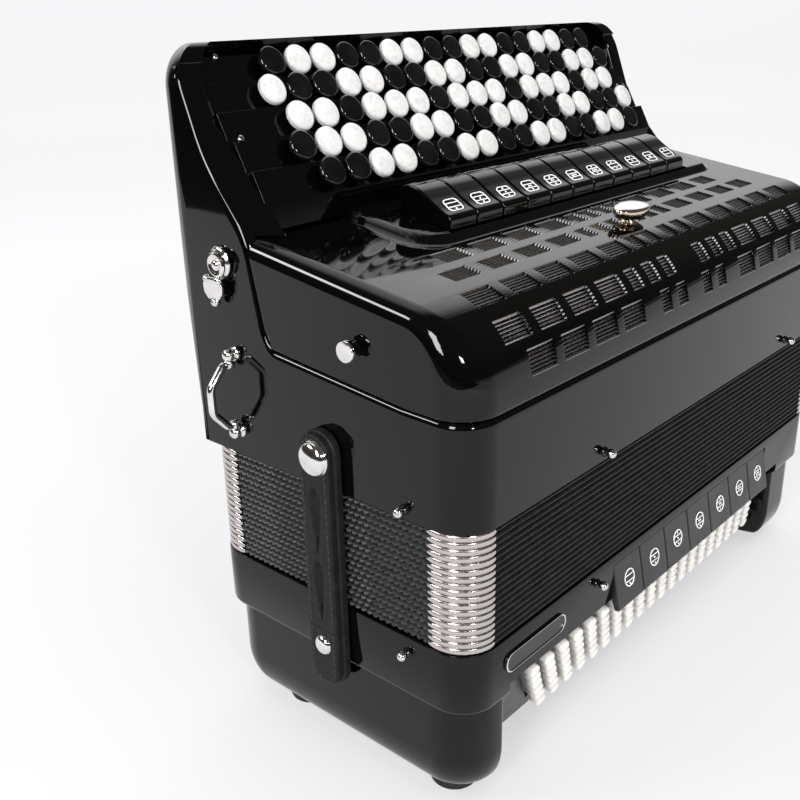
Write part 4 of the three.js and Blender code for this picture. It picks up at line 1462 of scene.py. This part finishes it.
def strap_wheel():
    low, high = box_of("bass_strap_wheel")
    centre = (low + high) / 2
    radius = (high.z - low.z) / 2
    thick = high.x - low.x
    solid = Solid()
    rings = []
    teeth = 36
    for x, size in ((-0.5, 0.86), (-0.42, 0.96), (-0.3, 1), (0.3, 1), (0.42, 0.96), (0.5, 0.86)):
        ring = []
        for k in range(teeth * 4):
            angle = 2 * math.pi * k / (teeth * 4)
            notch = 0.5 * (1 - math.cos(angle * teeth)) * 0.5
            reach = radius * size - notch
            ring.append(centre + Vector((x * thick, reach * math.cos(angle), reach * math.sin(angle))))
        rings.append(ring)
    solid.loft(rings)
    piece("strap_wheel", solid, [NICKEL], "strap_wheel", "steel", "bass_strap_wheel", sharp=50)


# ---- bellows straps --------------------------------------------------------------------------------
STRAP_V = 88
STRAP_TOP = 33
STRAP_BEND = -76
STRAP_END = -111
STRAP_HALF = 10.8
STRAP_FACE = 5.2                              # the face layer starts this far off the case
STRAP_SKIN = 3.8
TRIM = 0.8                                    # the face layer is this much narrower and shorter
DOME_W = 20


def strap_slab(solid, side, w0, w1, round_top, x0, thick, half, dent):
    """A leather slab on an end face, with one round end and an eased edge. dent(y, w) sinks its face."""
    count = max(int((w1 - w0) / 0.8), 8)
    columns = 44
    rings = []
    for k in range(count + 1):
        w = w0 + (w1 - w0) * (k / count)
        reach = (w1 - w) if round_top else (w - w0)
        short = max(half - reach, 0)
        width = half * math.sqrt(max(1 - (short / half) ** 2, 0.0004))
        face = []
        base = []
        for c in range(columns + 1):
            across = 2 * c / columns - 1
            y = width * (0.6 * across + 0.4 * math.sin(math.pi / 2 * across))
            share = clamp((half - math.hypot(y, short)) / 1.5)
            height = thick - 1.2 * (1 - math.sqrt(max(1 - (1 - share) ** 2, 0))) - dent(y, w)
            face.append((side * (HALF + x0 + height), FRONT + STRAP_V + y, TOP + w))
            base.append((side * (HALF + x0), FRONT + STRAP_V + y, TOP + w))
        rings.append([*face, *reversed(base)])
    solid.loft(rings)


def drop_shape(y, w, top, length, width):
    """Depth of a long drop-shaped recess: round and wide at its top, drawn to a point below."""
    t = (top - w) / length
    if not 0 < t < 1:
        return 0
    half = width * min(math.sqrt(t * 9), 1) * (1 - t ** 2.2)
    inside = 1 - (abs(y) / max(half, 0.01)) ** 2
    return 1.9 * min(max(inside, 0) * 1.3, 1) ** 1.2


def no_recess(y, w):
    return 0


def recess_depth(y, w):
    return max(drop_shape(y, w, 4, 36, 3.7), drop_shape(y, w, -37, 34, 3.7))


def stitch_rows(solid, face, half, levels):
    """Upright stitches along both edges of a strap's face."""
    for w in levels:
        for edge in (-half, half):
            stitch(solid, [(face, FRONT + STRAP_V + edge, TOP + w + i * STITCH / 2) for i in range(3)], 1)


def stitch_turn(solid, face, half, turn_w, first):
    """Stitches round a strap's end, over a half turn from first half turns on."""
    for k in range(7):
        angles = [math.pi * (first + (k + 0.12 + 0.36 * i) / 7) for i in range(3)]
        stitch(solid, [(face, FRONT + STRAP_V + half * math.cos(a), TOP + turn_w + half * math.sin(a))
                       for a in angles], 1)


def strap_layers(solid, side, w0, w1, tip, trims, dent):
    """The strap's wide pad and the narrower face on it, whose ends are trimmed."""
    low, high = trims
    strap_slab(solid, side, w0, w1, tip, 1, 4.2, STRAP_HALF + 0.4, no_recess)
    strap_slab(solid, side, w0 + low, w1 - high, tip, STRAP_FACE, STRAP_SKIN, STRAP_HALF - TRIM, dent)


def bellows_strap(end, side):
    """The strip that unsnaps from the treble case, and the short base it folds on."""
    face = side * (HALF + STRAP_FACE + STRAP_SKIN)
    half = STRAP_HALF - 3.2
    centre = (face - side * 0.4, FRONT + STRAP_V - 1, TOP + DOME_W)
    snap = [(0, -1), (9.2, -1), (9.4, 0.2), (9.1, 1.0), (8.8, 1.2), *dome(8.8, 4, 9, 1.2, 1)]
    solid = Solid()
    strap_layers(solid, side, STRAP_BEND, STRAP_TOP, True, (0, TRIM), recess_depth)
    turn_w = STRAP_TOP - TRIM - (STRAP_HALF - TRIM)
    levels = [STRAP_BEND + 2 + k * STITCH_STEP for k in range(22)]
    stitch_rows(solid, face, half, [w for w in levels if w + STITCH < turn_w])
    stitch_turn(solid, face, half, turn_w, 0)
    solid.lathe(snap, centre, (side, 0, 0), 48, 2)
    looks = [LEATHER, THREAD, NICKEL]
    piece(f"bellows_strap_{end}_leather", solid, looks, f"strap_{end}", "leather", f"bellows_strap_{end}",
          sharp=48)
    fixed = Solid()
    strap_layers(fixed, side, STRAP_END, STRAP_BEND - GAP, False, (TRIM, 0), no_recess)
    turn_w = STRAP_END + TRIM + STRAP_HALF - TRIM
    levels = [STRAP_BEND - 4 - k * STITCH_STEP for k in range(6)]
    stitch_rows(fixed, face, half, [w for w in levels if w > turn_w])
    stitch_turn(fixed, face, half, turn_w, 1)
    button = [(0, -1), (5.4, -1), (5.6, 0), (5.2, 0.6), *dome(5, 1.9, 6, 0.6, 1)]
    fixed.lathe(button, (face, FRONT + STRAP_V, TOP - 86), (side, 0, 0), 32, 2)
    piece(f"bellows_strap_base_{end}_leather", fixed, looks, "bass", "leather", f"bellows_strap_base_{end}",
          sharp=48)


# ---- strap bails and hooks -------------------------------------------------------------------------
BAIL_V = 151.3
BAIL_W = (21, 50.6)
BAIL_WIRE = 2.1
BAIL_REACH = 13
HOOK_V = 155
HOOK_W = 104


def bail(end, side):
    x = side * (HALF + 4)
    y = FRONT + BAIL_V
    low, high = (TOP + w for w in BAIL_W)
    corners = rounded([(0, low - 2, 0), (4, low - 2, 6), (BAIL_REACH, low + 8, 6),
                       (BAIL_REACH, high - 8, 6), (4, high + 2, 6), (0, high + 2, 0)], 8)
    path = [(x + side * a, y, z) for a, z in corners if a >= -0.01]
    solid = Solid()
    solid.sweep(path, BAIL_WIRE, 14)
    for z in (low - 2, high + 2):
        ball(solid, (x, y, z), 3.1)
    piece(f"strap_bail_{end}_wire", solid, [NICKEL], f"bail_{end}", "nickel", f"strap_bail_{end}", sharp=50)
    post = [(0, 0), (3.4, 0), (3.6, 1.4), (2.3, 2.2), (2.1, 3), (3.3, 4), (3.5, 5), (3.1, 6.6), (1.8, 7.7),
            (0, 8)]
    posts = Solid()
    for z, way in ((low - 2, -1), (high + 2, 1)):
        root = (side * (HALF - 1), y, z + way * 4.4)
        posts.lathe(post, root, (side, 0, 0), 24)
    piece(f"bail_posts_{end}", posts, [NICKEL], "treble", "nickel", sharp=50)


def ball(solid, centre, radius):
    angles = [math.pi * k / 12 for k in range(13)]
    arc = [(radius * math.sin(a), -radius * math.cos(a)) for a in angles]
    solid.lathe(arc, centre, X_AXIS, 20)


def hook(end, side):
    centre = Vector((side * (HALF + GAP), FRONT + HOOK_V, TOP + HOOK_W))
    way = (side, 0, 0)
    solid = Solid()
    foot = [(0, 0), (7.6, 0), (8, 0.6), (8, 1.4), (7.3, 2.2), (6.2, 2.5), (6.2, 3.1), (0, 3.1)]
    cup = [(0, 3), (5.6, 3), (6.3, 3.8), (6.3, 4.6), (5.6, 5.4), (4.4, 5.6), (4, 5), (2.6, 5),
           (2.3, 5.7), (1.2, 6), (0, 6)]
    solid.lathe(foot, centre, way, 40)
    solid.lathe(cup, centre - Vector((0, 1.2, 0.6)), way, 36)
    x = side * (HALF + 4.2)
    middle = centre.y + 3
    for y in (middle - 4.5, middle + 4.5):
        ball(solid, (x, y, centre.z - 8.6), 2.3)
    solid.sweep([(x, middle - 4.5, centre.z - 8.6), (x, middle + 4.5, centre.z - 8.6)], 1.5, 12)
    left = [(-7.4, -10.2, 2), (-7.0, -15.5, 3), (-3.4, -19.5, 2.4)]
    right = [(-a, b, radius) for a, b, radius in reversed(left)]
    outline = rounded([*left, (0, -17.8, 1.2), *right, (3, -8.6, 2), (-3, -8.6, 2)], 4)
    tab = Solid()
    tab.prism(outline, (x - side * 1.1, middle, centre.z), Y_AXIS, Z_AXIS, (side * 2.2, 0, 0))
    ball(solid, (x, middle - 0.6, centre.z - 20), 2.5)
    made = mesh_object(f"strap_hook_{end}_metal", tab, [NICKEL])
    bevel(made, 0.7, None, 3, 50)
    merge(made, solid)
    attach(made, f"hook_{end}", "nickel", f"strap_hook_{end}")


# ---- pins, thumbscrews and badge -------------------------------------------------------------------
def pin(solid, centre, axis):
    """A bellows pin: a round metal head on a collar, the pin's stud, whose dark colour is painted shadow
    under the head.
    """
    head = [(2.6 * math.sin(math.pi * k / 10), 3.9 - 2.6 * math.cos(math.pi * k / 10)) for k in range(11)]
    # the collar is real; its dark look (look 1) is painted shadow round the pin's foot
    solid.lathe([(0, -0.5), (2.7, -0.5), (2.7, 0.5), (2.1, 1.2), (1.7, 2.2), (0, 2.4)], centre, axis, 24, 1)
    solid.lathe(head, centre, axis, 24)


def pins():
    """Pins along the front and back, and one near the front of each end."""
    rows = (("treble", 5.4, (112, 343), (112, 343)),
            ("bass", BELLOWS_BOTTOM - TOP - 9, (112,), (112, LENGTH - 112)))
    for body, w, front, rear in rows:
        solid = Solid()
        for u in rear:
            for v, way in ((0, -1), (DEPTH, 1)):
                if way > 0 or u in front:
                    pin(solid, spot(u, v, w), (0, way, 0))
        for _, side in ENDS:
            pin(solid, (side * HALF, FRONT + 38, TOP + w), (side, 0, 0))
        piece(f"{body}_pins", solid, [NICKEL, BLACK_CAP], body, "nickel", sharp=50)


def thumbscrews():
    neck = [(0, -0.5), (4, -0.5), (4, 0.7), (3.1, 1.1), (3.1, 3.8), (0, 3.8)]
    head = [(0, 3.6), (4.9, 3.6), (5.3, 4), (5.3, 5.7), (4.9, 6.2), (3, 6.4), (0, 6.5)]
    solid = Solid()
    for _, side in ENDS:
        centre = (side * HALF, FRONT + 66, TOP + 77)
        solid.lathe(neck, centre, (side, 0, 0), 32, 1)
        solid.lathe(head, centre, (side, 0, 0), 40)
    piece("cover_thumbscrews", solid, [NICKEL, BLACK_CAP], "treble", "nickel", sharp=40)


def badge():
    """A blank name badge: a metal rim round a black field."""
    centre = spot(53.5, 0, -78)
    outline = stadium(52, 10.5)
    solid = Solid()
    solid.prism(outline, centre, X_AXIS, Z_AXIS, (0, -1, 0))
    flat_ring(solid, outline, centre - Y_AXIS, X_AXIS, Z_AXIS, 1.1, Y_AXIS * -4, 1)
    piece("name_badge", solid, [SATIN, NICKEL], "bass", "nickel")


# ---- inner pieces ----------------------------------------------------------------------------------
def inner_pieces():
    for kind in ("bellows_frame", "foundation_board", "reed_block"):
        for end in ("bass", "treble"):
            dress(f"{end}_{kind}", WOOD, 0.5)
    for name in ("keyboard_axle", "register_rail"):
        dress(name, STEEL, 0.5)


# ---- studio ----------------------------------------------------------------------------------------
def area_light(name, place, target, size, power, glossy, colour=(1, 1, 1)):
    data = bpy.data.lights.new(name, "AREA")
    data.shape = "RECTANGLE"
    data.size, data.size_y = size
    data.energy = power
    data.color = colour
    light = place_object(name, data)
    light.location = place
    light.rotation_euler = (Vector(target) - Vector(place)).to_track_quat("-Z", "Y").to_euler()
    light.visible_glossy = glossy


class Sky:
    """The world's node tree with short calls."""

    def __init__(self):
        made = bpy.data.worlds.new("studio")
        bpy.context.scene.world = made
        made.use_nodes = True
        self.tree = made.node_tree
        self.tree.nodes.clear()

    def node(self, kind, *sources, **values):
        made = self.tree.nodes.new(kind)
        for name, value in values.items():
            setattr(made, name, value)
        for source, target in zip(sources, made.inputs):
            if isinstance(source, (int, float)):
                target.default_value = source
            else:
                self.tree.links.new(source, target)
        return made

    def math(self, operation, *sources):
        return self.node("ShaderNodeMath", *sources, operation=operation).outputs[0]

    def step(self, source, low, high):
        """Rises smoothly from 0 to 1 between two levels of its source."""
        return self.node("ShaderNodeMapRange", source, low, high,
                         interpolation_type="SMOOTHSTEP").outputs["Result"]


def world():
    """A dark room, bright low down and behind on its right side, and stronger higher up."""
    sky = Sky()
    parts = sky.node("ShaderNodeSeparateXYZ", sky.node("ShaderNodeTexCoord").outputs["Generated"]).outputs
    level = sky.step(parts["Z"], 0.10, 0.0)
    back = sky.step(parts["Y"], 0.0, 0.3)
    joined = sky.math("MAXIMUM", level, back)
    lit = sky.math("MULTIPLY", joined, sky.step(parts["X"], -0.25, 0.15))
    mix = sky.node("ShaderNodeMix", data_type="RGBA")
    mix.inputs["A"].default_value = (0.05, 0.047, 0.04, 1)
    mix.inputs["B"].default_value = (0.93, 0.92, 0.94, 1)
    sky.tree.links.new(lit, mix.inputs["Factor"])
    bright = sky.math("MULTIPLY_ADD", sky.step(parts["Z"], 0.15, 0.45), 0.8, 1)
    background = sky.node("ShaderNodeBackground", mix.outputs["Result"], bright)
    sky.node("ShaderNodeOutputWorld", background.outputs[0])


def floor():
    """White paper round the accordion. Past its left edge the room is dark."""
    paper = Look("floor_paper", (0.21, 0.208, 0.212), 0.9)
    paper.set("Emission Color", (1, 0.99, 1.01, 1))
    distance = paper.node("ShaderNodeVectorMath", operation="LENGTH")
    paper.link(paper.place, distance.inputs[0])
    near_to_far = paper.math("MULTIPLY", distance.outputs["Value"], 0.25)
    paper.drive("Emission Strength", near_to_far, (0.1, 0.56), (0.3, 0.68), (0.9, 0.77))
    paper.bump(paper.noise(30, 4), 0.15)
    room = Look("room_floor", (0.02, 0.02, 0.02), 0.9)
    room.bump(room.noise(30, 4), 0.15)
    size = 60
    left = -1.15
    for name, look, x0, x1 in (("floor", paper, left, size), ("room_floor", room, -size, left)):
        mesh = bpy.data.meshes.new(name)
        mesh.from_pydata([(x0, -size, 0), (x1, -size, 0), (x1, size, 0), (x0, size, 0)], [], [(0, 1, 2, 3)])
        mesh.materials.append(look.material)
        place_object(name, mesh)


def studio():
    world()
    floor()
    area_light("overhead", (0.3, -0.6, 2.2), (0, 0, 0.1), (2.4, 2.4), 60, False)
    area_light("front_fill", (-0.7, -2.2, 0.5), (0, 0, 0.15), (1.6, 0.8), 16, False)
    area_light("side_softbox", (-1.9, -0.5, 1.1), (0, 0, 0.25), (0.45, 1.0), 34, True)
    area_light("front_lamp", (-0.95, -1.9, 1.05), (0, 0, 0.25), (0.22, 0.22), 18, True)
    area_light("back_softbox", (-1.3, 1.05, 1.25), (0, 0, 0.3), (0.9, 0.3), 20, True)
    bpy.context.scene.view_settings.view_transform = "Standard"


def build():
    make_camera()
    treble_case()
    cheek_lands()
    grille_cover()
    grille_cloth()
    treble_registers()
    treble_buttons()
    keyboard()
    medallion()
    bellows()
    bellows_corners()
    bass_case()
    bass_cover()
    bass_buttons()
    bass_registers()
    air_button()
    feet()
    hand_strap()
    strap_wheel()
    for end, side in ENDS:
        bellows_strap(end, side)
        bail(end, side)
        hook(end, side)
    pins()
    thumbscrews()
    badge()
    inner_pieces()
    studio()


build()
